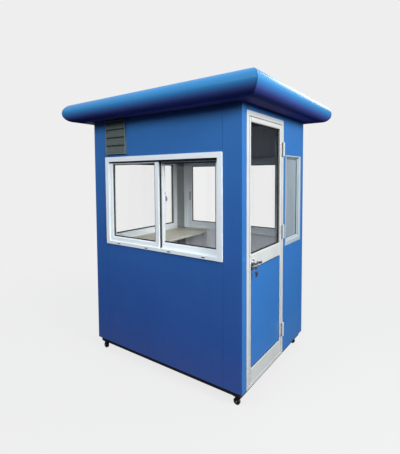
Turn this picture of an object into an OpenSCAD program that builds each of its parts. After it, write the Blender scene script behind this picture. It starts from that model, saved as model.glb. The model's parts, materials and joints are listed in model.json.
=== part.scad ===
// Guard booth on casters: sandwich-panel walls, sliding windows, a glazed door,
// a bullnose roof and a desk. Millimetres, +Z up. The origin is on the ground,
// in the middle of the booth. The front window faces -Y and the door faces +X.

/* [Wall box] */
// Length over the walls, along the front window
body_l = 1500; // [1400:10:2200]
// Depth over the walls, along the door side
body_w = 1200; // [1190:10:1800]
// Height of the walls from base frame to soffit
wall_h = 1980; // [1978:10:2600]
// Thickness of the wall panels
wall_t = 50; // [40:5:75]
// Thickness of the floor deck
floor_t = 18; // [12:1:30]

/* [Roof] */
// Overhang beyond the door wall and its opposite
roof_over_x = 200; // [120:10:320]
// Overhang beyond the front and back walls
roof_over_y = 195; // [120:5:320]
// Thickness of the roof, also the height of its round edge
roof_t = 155; // [100:5:200]
// Flat strip of the edge piece behind its round nose
fascia_back = 20; // [10:1:40]

/* [Base and casters] */
// Side of the square tube in the base frame
base_tube = 40; // [30:5:60]
// How far the base frame stands in from the wall face
base_inset = 20; // [10:1:30]
// Place of the two cross tubes, from the middle
cross_x = 240; // [150:10:400]
// Height of a caster under the base frame
caster_h = 75; // [70:1:110]
// Caster's centre in from the wall faces
caster_inset = 55; // [50:1:80]
// Diameter of a caster wheel
wheel_d = 50; // [40:1:54]
// Width of a caster wheel
wheel_w = 20; // [14:1:26]
// How far a wheel trails its swivel
caster_trail = 14; // [8:1:18]

/* [Front and back windows] */
// Width of the frame
win_w = 1200; // [1000:10:1240]
// Height of the frame
win_h = 760; // [600:10:800]
// Sill height above the base frame, for all windows
sill = 900; // [700:10:940]
// Face width of jambs and head
win_face = 40; // [30:1:60]
// Face height of the sill member
win_sill_face = 28; // [20:1:50]
// How far window frames stand proud of the wall
win_proud = 8; // [2:1:15]
// Depth of the sliding window's frame
win_depth = 80; // [78:1:100]
// Depth that a sash sits in its track
track = 10; // [6:1:14]
// Thickness of a sash
sash_t = 26; // [22:1:28]
// Stile of a sash at the jamb
sash_stile = 52; // [40:1:60]
// Stile of a sash where the two meet
meet_stile = 42; // [30:1:50]
// Top rail of a sash
sash_top = 30; // [24:1:50]
// Bottom rail of a sash
sash_bottom = 52; // [40:1:70]

/* [Fixed windows] */
// Width of the fixed window opposite the door
left_win_w = 1040; // [800:10:1060]
// Face width of its members
left_face = 42; // [30:1:60]
// Width of the window beside the door
side_win_w = 368; // [250:1:372]
// Its jamb next to the door
side_near = 20; // [14:1:40]
// Its jamb at the far corner
side_far = 34; // [20:1:45]
// Its head member
side_head = 16; // [14:1:40]
// Its sill member
side_sill = 45; // [25:1:60]
// Depth of both fixed frames
fix_depth = 62; // [50:1:80]

/* [Door] */
// Width of the door frame
door_w = 650; // [540:1:654]
// Height of the door frame
door_h = 1936; // [1850:1:1960]
// Corner post's width beside the door frame
door_leg = 63; // [55:1:120]
// Corner post's width beyond the side window
far_leg = 75; // [55:1:120]
// Face width of the door frame
door_face = 36; // [25:1:50]
// Height of the threshold
threshold = 20; // [12:1:24]
// Gap around the leaf
door_gap = 5; // [5:0.5:7]
// Thickness of the leaf
leaf_t = 38; // [34:1:40]
// Face width of the leaf's stiles
leaf_stile = 26; // [22:1:60]
// Height of the leaf's top rail
leaf_top = 34; // [25:1:80]
// Bottom edge of the leaf's middle rail above the base frame
rail_z = 842; // [700:1:1000]
// Height of the middle rail
rail_h = 104; // [90:1:140]
// Top edge of the bottom rail above the base frame
leaf_bottom = 134; // [80:1:220]
// Thickness of the lower panel
leaf_panel_t = 30; // [20:1:32]
// Height of a hinge
hinge_h = 110; // [80:1:130]
// Radius of a hinge knuckle
knuckle_r = 10; // [8:0.5:12]
// Radius of a hinge pin
pin_r = 4; // [3:0.5:5]
// Lever's distance from the leaf's edge
backset = 40; // [36:1:60]
// Lever's height above the base frame
lever_z = 893; // [860:1:920]
// Length of the lever's arm
lever_len = 92; // [70:1:120]
// Radius of the round plate behind the lever
rose_r = 22; // [18:1:24]

/* [Vent] */
// Width of the vent box
vent_w = 242; // [160:1:300]
// Height of the vent box
vent_h = 286; // [200:1:290]
// Vent's edge in from the front window's edge
vent_in = 22; // [15:1:60]
// Vent's lower edge above the window
vent_up = 24; // [15:1:26]
// How far the vent box stands out of the wall
vent_proud = 18; // [8:1:30]
// Thickness of the vent box's sides
vent_wall = 6; // [4:1:10]
// Number of louvre slats
slats = 4; // [3:1:6]

/* [Desk] */
// Height of the desk's top above the base frame
desk_z = 880; // [700:5:890]
// Depth of the desk out from the wall
desk_d = 400; // [250:10:600]
// Thickness of the desk top
desk_t = 22; // [16:1:40]
// Side of the bearers under the desk
bearer = 30; // [20:1:45]

/* [Hidden] */
$fn = 0;
eps = 1;
hx = body_l / 2;
hy = body_w / 2;
zb = caster_h + base_tube;        // underside of the walls
zt = zb + wall_h;                 // soffit
ex = hx + roof_over_x;            // roof's outer edge
ey = hy + roof_over_y;
nose_r = roof_t / 2;
edge_w = nose_r + fascia_back;    // width of an edge piece
base_x = hx - base_inset;
base_y = hy - base_inset;
head = sill + win_h;
left_leg = (body_w - left_win_w) / 2;
glass_t = 5;
bite = 8;                         // glass held in its groove
fit = 0.3;                        // clearance beside a sash in its track
track_gap = 7.4;                  // wall between the two tracks
track_1 = 12;                     // outer track, from the frame's front
track_w = sash_t + 2 * fit;
track_2 = track_1 + track_w + track_gap;
lap_out = 21;                     // sashes' edges past the middle
lap_in = 12;
door_y0 = -hy + door_leg;         // door frame's edges
door_y1 = door_y0 + door_w;
side_y1 = hy - far_leg;           // side window's edges
side_y0 = side_y1 - side_win_w;
door_proud = 2;
leaf_y0 = door_y0 + door_face + door_gap;
leaf_y1 = door_y1 - door_face - door_gap;
leaf_z0 = zb + threshold + door_gap;
leaf_z1 = zb + door_h - door_face - door_gap;
leaf_x1 = hx + door_proud;        // outer face of the leaf
leaf_x0 = leaf_x1 - leaf_t;
stop_lap = 16;                    // width of the door stop
stop_t = leaf_x0 - door_gap - (hx - wall_t);
hinge_x = leaf_x1 + knuckle_r + 2.5;
hinge_y = leaf_y1 + door_gap + 5.5;
hinge_zs = [zb + 160, zb + 979, zb + 1648];
hinge_plate = 3;
run = 0.05;                       // radial clearance of a pin
part_gap = 0.4;                   // gap between knuckles
lever_y = leaf_y0 + backset;
spindle_r = 6;
rose_t = 10;
lever_out = 34;                   // lever's reach off the leaf
vent_x0 = -win_w / 2 + vent_in;
vent_z0 = zb + head + vent_up;
plate = 60;                       // caster's top plate
plate_t = 4;
race = 0.5;                       // gap at the swivel race
kingpin_r = 6;
crown_t = 5;
cheek_t = 3;
side_gap = 2;                     // wheel to fork cheek
axle_r = 4;
crown_z = caster_h - plate_t - race - crown_t;

blue = [0.16, 0.42, 0.72];
white = [0.88, 0.90, 0.92];
black = [0.05, 0.05, 0.06];

// ---------- shared shapes ----------

// box from one corner to the opposite one
module block(a, b) { translate(a) cube(b - a); }

// corner post with its corner at the origin, towards -x and +y
module corner_post(leg) translate([-wall_t, 0, 0]) cube([wall_t, leg, wall_h]);

// frame in the x-z plane from the origin, depth along +y
module ring(w, h, near, far, top, bottom, depth)
  difference() {
    cube([w, depth, h]);
    translate([near, -eps, bottom])
      cube([w - near - far, depth + 2 * eps, h - top - bottom]);
  }

// the same frame with a groove that holds glass or a panel
module glazed_ring(w, h, near, far, top, bottom, depth, at, thick)
  difference() {
    ring(w, h, near, far, top, bottom, depth);
    translate([near - bite, at, bottom - bite])
      cube([w - near - far + 2 * bite, thick, h - top - bottom + 2 * bite]);
  }

// what fills that groove
module pane(w, h, near, far, top, bottom, at, thick)
  translate([near - bite, at, bottom - bite])
    cube([w - near - far + 2 * bite, thick, h - top - bottom + 2 * bite]);

// turns the x-z frame plane to face +x, with its width along +y
module facing_x() rotate([0, 0, 90]) children();

// ---------- base ----------

module base_frame() color(black)
  translate([0, 0, caster_h]) difference() {
    block([-base_x, -base_y, 0], [base_x, base_y, base_tube]);
    for (c = [[-base_x, -cross_x], [-cross_x, cross_x], [cross_x, base_x]])
      block([c[0] + (c[0] == -base_x ? base_tube : base_tube / 2), -base_y + base_tube, -eps],
        [c[1] - (c[1] == base_x ? base_tube : base_tube / 2), base_y - base_tube,
         base_tube + eps]);
  }

module floor_deck() color([0.45, 0.44, 0.42])
  block([-hx + wall_t, -hy + wall_t, zb], [hx - wall_t, hy - wall_t, zb + floor_t]);

// ---------- walls ----------

module front_corner_posts() color(blue) translate([0, 0, zb]) {
  translate([hx, -hy, 0]) corner_post(door_leg);
  translate([-hx, -hy, 0]) mirror([1, 0, 0]) corner_post(left_leg);
}

module back_corner_posts() color(blue) translate([0, 0, zb]) {
  translate([hx, hy, 0]) mirror([0, 1, 0]) corner_post(far_leg);
  translate([-hx, hy, 0]) rotate([0, 0, 180]) corner_post(left_leg);
}

// full-height wall between each corner post and the window
module front_wall_ends() color(blue) for (s = [0, 1]) mirror([s, 0, 0])
  block([win_w / 2, -hy, zb], [hx - wall_t, -hy + wall_t, zt]);

module back_wall_ends() mirror([0, 1, 0]) front_wall_ends();

module front_wall_lower() color(blue)
  block([-win_w / 2, -hy, zb], [win_w / 2, -hy + wall_t, zb + sill]);

module front_wall_upper() color(blue) difference() {
  block([-win_w / 2, -hy, zb + head], [win_w / 2, -hy + wall_t, zt]);
  block([vent_x0, -hy - eps, vent_z0], [vent_x0 + vent_w, -hy + wall_t + eps, vent_z0 + vent_h]);
}

module back_wall_lower() color(blue)
  block([-win_w / 2, hy - wall_t, zb], [win_w / 2, hy, zb + sill]);

module back_wall_upper() color(blue)
  block([-win_w / 2, hy - wall_t, zb + head], [win_w / 2, hy, zt]);

module left_wall_lower() color(blue)
  block([-hx, -left_win_w / 2, zb], [-hx + wall_t, left_win_w / 2, zb + sill]);

module left_wall_upper() color(blue)
  block([-hx, -left_win_w / 2, zb + head], [-hx + wall_t, left_win_w / 2, zt]);

module door_header() color(blue)
  block([hx - wall_t, door_y0, zb + door_h], [hx, door_y1, zt]);

module door_side_post() color(blue)
  block([hx - wall_t, door_y1, zb], [hx, side_y0, zt]);

module side_wall_lower() color(blue)
  block([hx - wall_t, side_y0, zb], [hx, side_y1, zb + sill]);

module side_wall_upper() color(blue)
  block([hx - wall_t, side_y0, zb + head], [hx, side_y1, zt]);

// ---------- roof ----------

module roof_panel() color([0.75, 0.76, 0.78])
  block([-ex + edge_w, -ey + edge_w, zt], [ex - edge_w, ey - edge_w, zt + roof_t]);

// edge piece along x, nose towards -y, cut to a mitre at both ends
module fascia(half, out) color([0.14, 0.45, 0.78]) intersection() {
  translate([-half, -out + nose_r, zt + nose_r]) rotate([90, 0, 90])
    linear_extrude(2 * half) union() {
      intersection() {
        circle(nose_r);
        translate([-2 * nose_r, -nose_r]) square(2 * nose_r);
      }
      translate([0, -nose_r]) square([fascia_back, roof_t]);
    }
  translate([0, 0, zt]) linear_extrude(roof_t)
    polygon([[-half, -out], [half, -out], [half - edge_w, -out + edge_w],
      [-half + edge_w, -out + edge_w]]);
}

module fascia_front() fascia(ex, ey);
module fascia_back() mirror([0, 1, 0]) fascia(ex, ey);
module fascia_right() rotate([0, 0, 90]) fascia(ey, ex);
module fascia_left() rotate([0, 0, -90]) fascia(ey, ex);

// ---------- sliding windows ----------

// lower left corner of the frame, seen from outside
win_at = [-win_w / 2, -hy - win_proud, zb + sill];

module sliding_frame() color(white) translate(win_at) difference() {
  ring(win_w, win_h, win_face, win_face, win_face, win_sill_face, win_depth);
  for (y = [track_1, track_2])
    translate([win_face - track, y, win_sill_face - track])
      cube([win_w - 2 * win_face + 2 * track, track_w,
        win_h - win_face - win_sill_face + 2 * track]);
}

sash_z = win_sill_face - track;
sash_h = win_h - win_face - win_sill_face + 2 * track - 2;
sash_y1 = track_1 + fit;
sash_y2 = track_2 + fit;
sash_w1 = win_w / 2 + lap_out - win_face + track;
sash_w2 = win_w / 2 + lap_in - win_face + track;
sash_x2 = win_w / 2 - lap_in;
pane_at = (sash_t - glass_t) / 2;

module sliding_sashes() color(white) translate(win_at) {
  translate([win_face - track, sash_y1, sash_z])
    glazed_ring(sash_w1, sash_h, sash_stile, meet_stile, sash_top, sash_bottom,
      sash_t, pane_at, glass_t);
  translate([sash_x2, sash_y2, sash_z])
    glazed_ring(sash_w2, sash_h, meet_stile, sash_stile, sash_top, sash_bottom,
      sash_t, pane_at, glass_t);
}

module sliding_glass() color([0.75, 0.85, 0.88, 0.35]) translate(win_at) {
  translate([win_face - track, sash_y1, sash_z])
    pane(sash_w1, sash_h, sash_stile, meet_stile, sash_top, sash_bottom, pane_at, glass_t);
  translate([sash_x2, sash_y2, sash_z])
    pane(sash_w2, sash_h, meet_stile, sash_stile, sash_top, sash_bottom, pane_at, glass_t);
}

// crescent catch on the room side of the inner sash's meeting stile
module catch() {
  y0 = win_at[1] + sash_y2 + sash_t;
  zc = zb + sill + 412;
  xc = -lap_in + meet_stile / 2;
  color([0.8, 0.8, 0.82]) union() {
    block([xc - 9, y0, zc - 35], [xc + 9, y0 + 10, zc + 35]);
    translate([xc + 12, y0 + 4, zc]) rotate([-90, 0, 0]) difference() {
      cylinder(r = 22, h = 10);
      translate([8, 0, -eps]) cylinder(r = 12, h = 10 + 2 * eps);
    }
  }
}

module front_window_frame() sliding_frame();
module front_window_sashes() sliding_sashes();
module front_window_glass() sliding_glass();
module back_window_frame() mirror([0, 1, 0]) sliding_frame();
module back_window_sashes() mirror([0, 1, 0]) sliding_sashes();
module back_window_glass() mirror([0, 1, 0]) sliding_glass();
module window_latches() { catch(); mirror([0, 1, 0]) catch(); }

// ---------- fixed windows ----------

fix_at = (fix_depth - glass_t) / 2;

module left_window_frame() color(white)
  translate([-hx - win_proud, left_win_w / 2, zb + sill]) rotate([0, 0, -90])
    glazed_ring(left_win_w, win_h, left_face, left_face, left_face, left_face,
      fix_depth, fix_at, glass_t);

module left_window_glass() color([0.75, 0.85, 0.88, 0.35])
  translate([-hx - win_proud, left_win_w / 2, zb + sill]) rotate([0, 0, -90])
    pane(left_win_w, win_h, left_face, left_face, left_face, left_face, fix_at, glass_t);

module side_window_frame() color(white)
  translate([hx + win_proud / 2, side_y0, zb + sill]) facing_x()
    glazed_ring(side_win_w, win_h, side_near, side_far, side_head, side_sill,
      fix_depth, fix_at, glass_t);

module side_window_glass() color([0.75, 0.85, 0.88, 0.35])
  translate([hx + win_proud / 2, side_y0, zb + sill]) facing_x()
    pane(side_win_w, win_h, side_near, side_far, side_head, side_sill, fix_at, glass_t);

// ---------- door ----------

module door_frame() color(white)
  translate([hx + door_proud, door_y0, zb]) facing_x()
    ring(door_w, door_h, door_face, door_face, door_face, threshold, wall_t + door_proud);

// strip inside the frame that the shut leaf comes up to
module door_stop() color(white)
  translate([hx - wall_t + stop_t, door_y0 + door_face, zb + threshold]) facing_x()
    ring(door_w - 2 * door_face, door_h - door_face - threshold, stop_lap, stop_lap,
      stop_lap, stop_lap, stop_t);

leaf_w = leaf_y1 - leaf_y0;
low_h = zb + rail_z - leaf_z0;
groove = (leaf_t - leaf_panel_t) / 2;
leaf_glass_at = 16;
rail_top = zb + rail_z + rail_h;

module door_leaf() color(white) difference() {
  translate([leaf_x1, leaf_y0, leaf_z0]) facing_x() union() {
    glazed_ring(leaf_w, low_h + rail_h / 2, leaf_stile, leaf_stile, rail_h / 2,
      zb + leaf_bottom - leaf_z0, leaf_t, groove, leaf_panel_t);
    translate([0, 0, low_h + rail_h / 2])
      glazed_ring(leaf_w, leaf_z1 - rail_top + rail_h / 2, leaf_stile, leaf_stile, leaf_top,
        rail_h / 2, leaf_t, leaf_glass_at, glass_t);
  }
  translate([leaf_x0 - eps, lever_y, zb + lever_z]) rotate([0, 90, 0])
    cylinder(r = spindle_r + run, h = leaf_t + 2 * eps);
}

module door_panel() color(blue) translate([leaf_x1, leaf_y0, leaf_z0]) facing_x()
  pane(leaf_w, low_h + rail_h / 2, leaf_stile, leaf_stile, rail_h / 2,
    zb + leaf_bottom - leaf_z0, groove, leaf_panel_t);

module door_glass() color([0.75, 0.85, 0.88, 0.35])
  translate([leaf_x1, leaf_y0, leaf_z0 + low_h + rail_h / 2]) facing_x()
    pane(leaf_w, leaf_z1 - rail_top + rail_h / 2, leaf_stile, leaf_stile, leaf_top,
      rail_h / 2, leaf_glass_at, glass_t);

third = hinge_h / 3;

// frame half of the hinges: plate, two end knuckles and the pin
module door_hinges() color(white) for (z = hinge_zs) translate([hinge_x, hinge_y, z]) union() {
  for (k = [0, 2 * third]) {
    translate([0, 0, k]) cylinder(r = knuckle_r, h = third);
    block([hx + door_proud - hinge_x, 0, k], [0, knuckle_r, k + third]);
  }
  block([hx + door_proud - hinge_x, 0, 0],
    [hx + door_proud - hinge_x + 2, door_face - 12, hinge_h]);
  cylinder(r = pin_r, h = hinge_h);
}

// leaf half: plate and the middle knuckle
module door_knuckles() color(white) for (z = hinge_zs) translate([hinge_x, hinge_y, z])
  difference() {
    union() {
      translate([0, 0, third + part_gap]) cylinder(r = knuckle_r, h = third - 2 * part_gap);
      block([leaf_x1 - hinge_x + 1.5, leaf_y1 - hinge_y - 6, third + part_gap],
        [-pin_r, 0, 2 * third - part_gap]);
      block([leaf_x1 - hinge_x, leaf_y1 - hinge_y - 20, 0],
        [leaf_x1 - hinge_x + hinge_plate, leaf_y1 - hinge_y - 1, hinge_h]);
    }
    translate([0, 0, -eps]) cylinder(r = pin_r + run, h = hinge_h + 2 * eps);
  }

module door_roses() color([0.8, 0.8, 0.82])
  for (x = [leaf_x0 - rose_t, leaf_x1])
    translate([x, lever_y, zb + lever_z]) rotate([0, 90, 0]) difference() {
      cylinder(r = rose_r, h = rose_t);
      translate([0, 0, -eps]) cylinder(r = spindle_r + run, h = rose_t + 2 * eps);
    }

// both levers on one spindle
module door_lever() color([0.82, 0.82, 0.84]) translate([0, lever_y, zb + lever_z]) union() {
  translate([leaf_x0 - lever_out, 0, 0]) rotate([0, 90, 0])
    cylinder(r = spindle_r, h = leaf_t + 2 * lever_out);
  for (x = [leaf_x0 - lever_out - 6, leaf_x1 + lever_out - 6]) {
    translate([x, 0, 0]) rotate([0, 90, 0]) cylinder(r = 10, h = 12);
    block([x + 1, 0, -7], [x + 11, lever_len, 7]);
  }
}

// ---------- vent ----------

module vent_frame() color([0.62, 0.66, 0.64])
  translate([vent_x0, -hy - vent_proud, vent_z0])
    ring(vent_w, vent_h, vent_wall, vent_wall, vent_wall, vent_wall, wall_t + vent_proud);

slat_pitch = (vent_h - 2 * vent_wall) / slats;

module vent_slats() color([0.42, 0.46, 0.42])
  for (i = [0:slats - 1])
    translate([vent_x0 + vent_wall, -hy - vent_proud, vent_z0 + vent_wall + i * slat_pitch])
      rotate([90, 0, 90]) linear_extrude(vent_w - 2 * vent_wall)
        polygon([[2, 1], [5, 1], [17, slat_pitch - 3], [14, slat_pitch - 3]]);

// ---------- desk ----------

module desk_top() color([0.66, 0.60, 0.50])
  block([-hx + wall_t, -hy + wall_t, zb + desk_z - desk_t],
    [-hx + wall_t + desk_d, hy - wall_t, zb + desk_z]);

module desk_bearers() color([0.5, 0.5, 0.5]) {
  z1 = zb + desk_z - desk_t;
  block([-hx + wall_t, -hy + wall_t + bearer + 10, z1 - bearer],
    [-hx + wall_t + bearer, hy - wall_t - bearer - 10, z1]);
  for (s = [-1, 1])
    translate([-hx + wall_t, s > 0 ? hy - wall_t - bearer : -hy + wall_t, z1 - bearer])
      cube([desk_d - 40, bearer, bearer]);
}

// ---------- casters ----------

cx = hx - caster_inset;
cy = hy - caster_inset;

module caster_plates() color(black)
  for (x = [-cx, cx], y = [-cy, cy]) translate([x, y, 0]) union() {
    translate([-plate / 2, -plate / 2, caster_h - plate_t]) cube([plate, plate, plate_t]);
    translate([0, 0, crown_z - 3]) cylinder(r = kingpin_r, h = caster_h - plate_t - crown_z + 3);
    translate([0, 0, crown_z - 3]) cylinder(r = kingpin_r + 3, h = 2.5);
  }

module caster_fork(x, y) color(black) translate([x, y, 0]) difference() {
  inner = wheel_w / 2 + side_gap;
  union() {
    translate([0, 0, crown_z]) cylinder(r = 26, h = crown_t);
    for (s = [-1, 1])
      translate([0, s > 0 ? inner : -inner - cheek_t, 0]) rotate([90, 0, 0]) mirror([0, 0, 1])
        linear_extrude(cheek_t)
          polygon([[-caster_trail - 9, wheel_d / 2 - 8], [-caster_trail + 9, wheel_d / 2 - 8],
            [18, crown_z + 1], [-20, crown_z + 1]]);
    translate([-caster_trail, inner + cheek_t + 2, wheel_d / 2]) rotate([90, 0, 0])
      cylinder(r = axle_r, h = 2 * (inner + cheek_t + 2));
  }
  translate([0, 0, crown_z - eps]) cylinder(r = kingpin_r + run, h = crown_t + 2 * eps);
}

module caster_wheel(x, y) color([0.09, 0.09, 0.1])
  translate([x - caster_trail, y + wheel_w / 2, wheel_d / 2]) rotate([90, 0, 0]) difference() {
    cylinder(r = wheel_d / 2, h = wheel_w);
    translate([0, 0, -eps]) cylinder(r = axle_r + run, h = wheel_w + 2 * eps);
  }

module caster_fork_fl() caster_fork(-cx, -cy);
module caster_fork_fr() caster_fork(cx, -cy);
module caster_fork_bl() caster_fork(-cx, cy);
module caster_fork_br() caster_fork(cx, cy);
module caster_wheel_fl() caster_wheel(-cx, -cy);
module caster_wheel_fr() caster_wheel(cx, -cy);
module caster_wheel_bl() caster_wheel(-cx, cy);
module caster_wheel_br() caster_wheel(cx, cy);

// ---------- assembly ----------

base_frame();
floor_deck();
front_corner_posts();
back_corner_posts();
front_wall_ends();
back_wall_ends();
front_wall_lower();
front_wall_upper();
back_wall_lower();
back_wall_upper();
left_wall_lower();
left_wall_upper();
door_header();
door_side_post();
side_wall_lower();
side_wall_upper();
roof_panel();
fascia_front();
fascia_back();
fascia_left();
fascia_right();
front_window_frame();
front_window_sashes();
front_window_glass();
back_window_frame();
back_window_sashes();
back_window_glass();
window_latches();
left_window_frame();
left_window_glass();
side_window_frame();
side_window_glass();
door_frame();
door_stop();
door_leaf();
door_panel();
door_glass();
door_hinges();
door_knuckles();
door_roses();
door_lever();
vent_frame();
vent_slats();
desk_top();
desk_bearers();
caster_plates();
caster_fork_fl();
caster_fork_fr();
caster_fork_bl();
caster_fork_br();
caster_wheel_fl();
caster_wheel_fr();
caster_wheel_bl();
caster_wheel_br();
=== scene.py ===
"""Finished pieces, paints, lights and camera for a guard booth on casters."""
import json
import math
import bmesh
import bpy
from bpy.props import FloatProperty, FloatVectorProperty, PointerProperty
from mathutils import Matrix, Vector


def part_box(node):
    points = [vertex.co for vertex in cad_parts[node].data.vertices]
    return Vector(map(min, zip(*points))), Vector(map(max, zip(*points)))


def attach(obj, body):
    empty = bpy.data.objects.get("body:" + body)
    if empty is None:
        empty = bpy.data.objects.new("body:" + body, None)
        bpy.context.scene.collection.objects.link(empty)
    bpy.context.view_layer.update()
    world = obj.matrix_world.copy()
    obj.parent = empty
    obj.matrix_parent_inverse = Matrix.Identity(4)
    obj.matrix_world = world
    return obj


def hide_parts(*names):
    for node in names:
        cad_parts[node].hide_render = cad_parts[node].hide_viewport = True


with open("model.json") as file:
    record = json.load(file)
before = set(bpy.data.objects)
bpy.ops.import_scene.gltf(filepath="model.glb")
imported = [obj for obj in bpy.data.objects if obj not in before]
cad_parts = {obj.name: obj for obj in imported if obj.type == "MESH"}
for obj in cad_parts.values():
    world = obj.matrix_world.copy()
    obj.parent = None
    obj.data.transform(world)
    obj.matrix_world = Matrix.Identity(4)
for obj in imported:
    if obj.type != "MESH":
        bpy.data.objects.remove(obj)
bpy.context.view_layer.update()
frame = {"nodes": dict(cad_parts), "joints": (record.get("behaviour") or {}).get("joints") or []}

bl_info = {
    "name": "Guard booth",
    "version": (1, 0, 0),
    "blender": (4, 5, 0),
    "location": "View3D > Sidebar > Booth",
    "description": "Builds the finished pieces of a guard booth round its packed frame",
    "category": "Object",
}


# ---------- settings ----------

def length(name, description, default):
    return FloatProperty(name=name, description=description, default=default, unit="LENGTH")


def colour(name, description, default):
    return FloatVectorProperty(name=name, description=description, default=default,
                               subtype="COLOR", size=3, min=0.0, max=1.0)


class BoothShellSizes(bpy.types.PropertyGroup):
    panel_edge: length("Panel edge", "Rounding of a wall panel's folded edges", 0.0018)
    lining: length("Lining", "Thickness of the ribbed inner sheet", 0.003)
    rib_pitch: length("Rib pitch", "Distance between the inner sheet's grooves", 0.060)
    rib_width: length("Rib width", "Width of a groove in the inner sheet", 0.012)
    rib_depth: length("Rib depth", "Depth of a groove in the inner sheet", 0.0022)
    roof_rib: length("Roof rib", "Height of the ribs on the roof's top sheet", 0.012)
    tube_round: length("Tube rounding", "Corner radius of the base frame's tubes", 0.006)


class BoothJoinerySizes(bpy.types.PropertyGroup):
    jamb: length("Jamb", "Face of a sliding window's jambs and head", 0.040)
    sill: length("Sill", "Face of a sliding window's sill member", 0.028)
    track: length("Track", "Depth that a sash sits in its track", 0.010)
    track_wall: length("Track wall", "Wall between the two tracks", 0.0074)
    track_in: length("Track inset", "Outer track, from the frame's front", 0.012)
    sash: length("Sash", "Thickness of a sash", 0.026)
    stile: length("Stile", "Stile of a sash at the jamb", 0.052)
    meeting: length("Meeting stile", "Stile of a sash where the two meet", 0.042)
    sash_head: length("Sash head", "Top rail of a sash", 0.030)
    sash_foot: length("Sash foot", "Bottom rail of a sash", 0.052)
    lap_out: length("Outer lap", "Outer sash's edge past the middle", 0.012)
    lap_in: length("Inner lap", "Inner sash's edge past the middle", 0.012)
    fixed_face: length("Fixed face", "Face of the wide fixed window's members", 0.042)
    side_faces: FloatVectorProperty(
        name="Side window faces", description="Near jamb, far jamb, head and sill",
        default=(0.020, 0.034, 0.016, 0.045), size=4, unit="LENGTH")
    door_face: length("Door frame", "Face of the door frame's jambs and head", 0.036)
    threshold: length("Threshold", "Height of the door's threshold", 0.020)
    leaf_stile: length("Leaf stile", "Face of the leaf's stiles", 0.026)
    leaf_head: length("Leaf head", "Height of the leaf's top rail", 0.034)
    glass: length("Glass", "Thickness of the panes", 0.005)
    seal: length("Seal", "Face of the rubber seal beside a pane", 0.008)


class BoothColours(bpy.types.PropertyGroup):
    wall: colour("Walls", "Paint of the outer wall sheets", (0.029, 0.146, 0.42))
    # Painted shade: the walls get this darker tone low down and on the sides away from the door.
    wall_painted_shade: colour("Walls, shaded", "The same paint where the sun doesn't reach",
                      (0.028, 0.084, 0.345))
    fascia: colour("Fascia", "Paint of the roof's round edge", (0.024, 0.184, 0.43))
    # Painted shade: the fascia's underside gets this darker tone.
    fascia_painted_shade: colour("Fascia, underside", "The same paint where it faces the ground",
                         (0.045, 0.060, 0.25))
    soffit: colour("Soffit", "Paint under the roof's overhang", (0.105, 0.090, 0.28))
    white: colour("Windows", "Powder coat of the windows", (0.80, 0.86, 0.90))
    door: colour("Door", "Powder coat of the door and its frame", (0.50, 0.52, 0.52))
    lining: colour("Lining", "Paint of the ribbed inner sheets", (0.80, 0.82, 0.86))
    inner_post: colour("Inner posts", "Paint of the inner sheets at the corners",
                       (0.28, 0.32, 0.31))
    # Painted shade: the ceiling sheet is given this dark tone for the shade under the roof.
    ceiling: colour("Ceiling", "Paint of the ceiling's ribbed sheet", (0.075, 0.105, 0.15))
    vent: colour("Vent", "Plastic of the vent box", (0.17, 0.21, 0.20))
    slats: colour("Slats", "Plastic of the vent's slats", (0.082, 0.105, 0.100))
    desk: colour("Desk", "Laminate of the desk top", (0.50, 0.48, 0.38))
    floor: colour("Floor", "Steel of the floor deck", (0.30, 0.31, 0.31))
    black: colour("Black paint", "Paint of base frame and casters", (0.016, 0.017, 0.020))


class BoothStageSizes(bpy.types.PropertyGroup):
    lens: FloatProperty(name="Lens", description="Focal length in millimetres", default=27.30)
    turn: FloatProperty(name="Turn", description="Camera's turn from the front", unit="ROTATION",
                        default=math.radians(36.21))
    tilt: FloatProperty(name="Tilt", description="Camera's tilt down", unit="ROTATION",
                        default=math.radians(3.136))
    roll: FloatProperty(name="Roll", description="Camera's roll", unit="ROTATION",
                        default=math.radians(-0.431))
    place: FloatVectorProperty(name="Place", description="Where the camera stands", size=3,
                               default=(1.820, -2.615, 1.623), unit="LENGTH")
    shift: FloatVectorProperty(name="Shift", description="Lens shift", size=2,
                               default=(0.0169, -0.0748))
    side_power: FloatProperty(name="Side light", description="Power towards the door wall",
                              default=335.0)
    front_power: FloatProperty(name="Front light", description="Power towards the front",
                               default=78.0)
    top_power: FloatProperty(name="Top light", description="Power from above", default=55.0)
    rear_power: FloatProperty(name="Rear light", description="Power from behind the roof",
                              default=65.0)
    backdrop: FloatProperty(name="Backdrop", description="Brightness of the pale backdrop",
                            default=0.855)


# ---------- shapes ----------

def rounded(part, edges, radius, steps):
    bmesh.ops.bevel(part, geom=edges, offset=radius, offset_type="OFFSET", segments=steps,
                    profile=0.5, affect="EDGES", material=-1, clamp_overlap=True)


def moved(part, place):
    bmesh.ops.transform(part, matrix=place, verts=part.verts)
    return part


def pushed(outline, reach):
    """A prism: a flat outline, pushed along a direction."""
    part = bmesh.new()
    face = part.faces.new([part.verts.new(point) for point in outline])
    bmesh.ops.translate(part, vec=reach, verts=[
        item for item in bmesh.ops.extrude_face_region(part, geom=[face])["geom"]
        if isinstance(item, bmesh.types.BMVert)])
    return part


def grown(part, soft=0.0, steps=2, paint=0):
    """Rounds every edge of a new part and gives its faces a material number."""
    if soft:
        rounded(part, part.edges[:], soft, steps)
    for face in part.faces:
        face.material_index = paint
    return part


def block(low, high, soft=0.001, steps=2, paint=0):
    """A block between two corners."""
    low, high = Vector(low), Vector(high)
    part = bmesh.new()
    bmesh.ops.create_cube(part, size=1.0, matrix=Matrix.Translation((low + high) / 2)
                          @ Matrix.Diagonal((*(high - low), 1.0)))
    return grown(part, soft, steps, paint)


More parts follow.
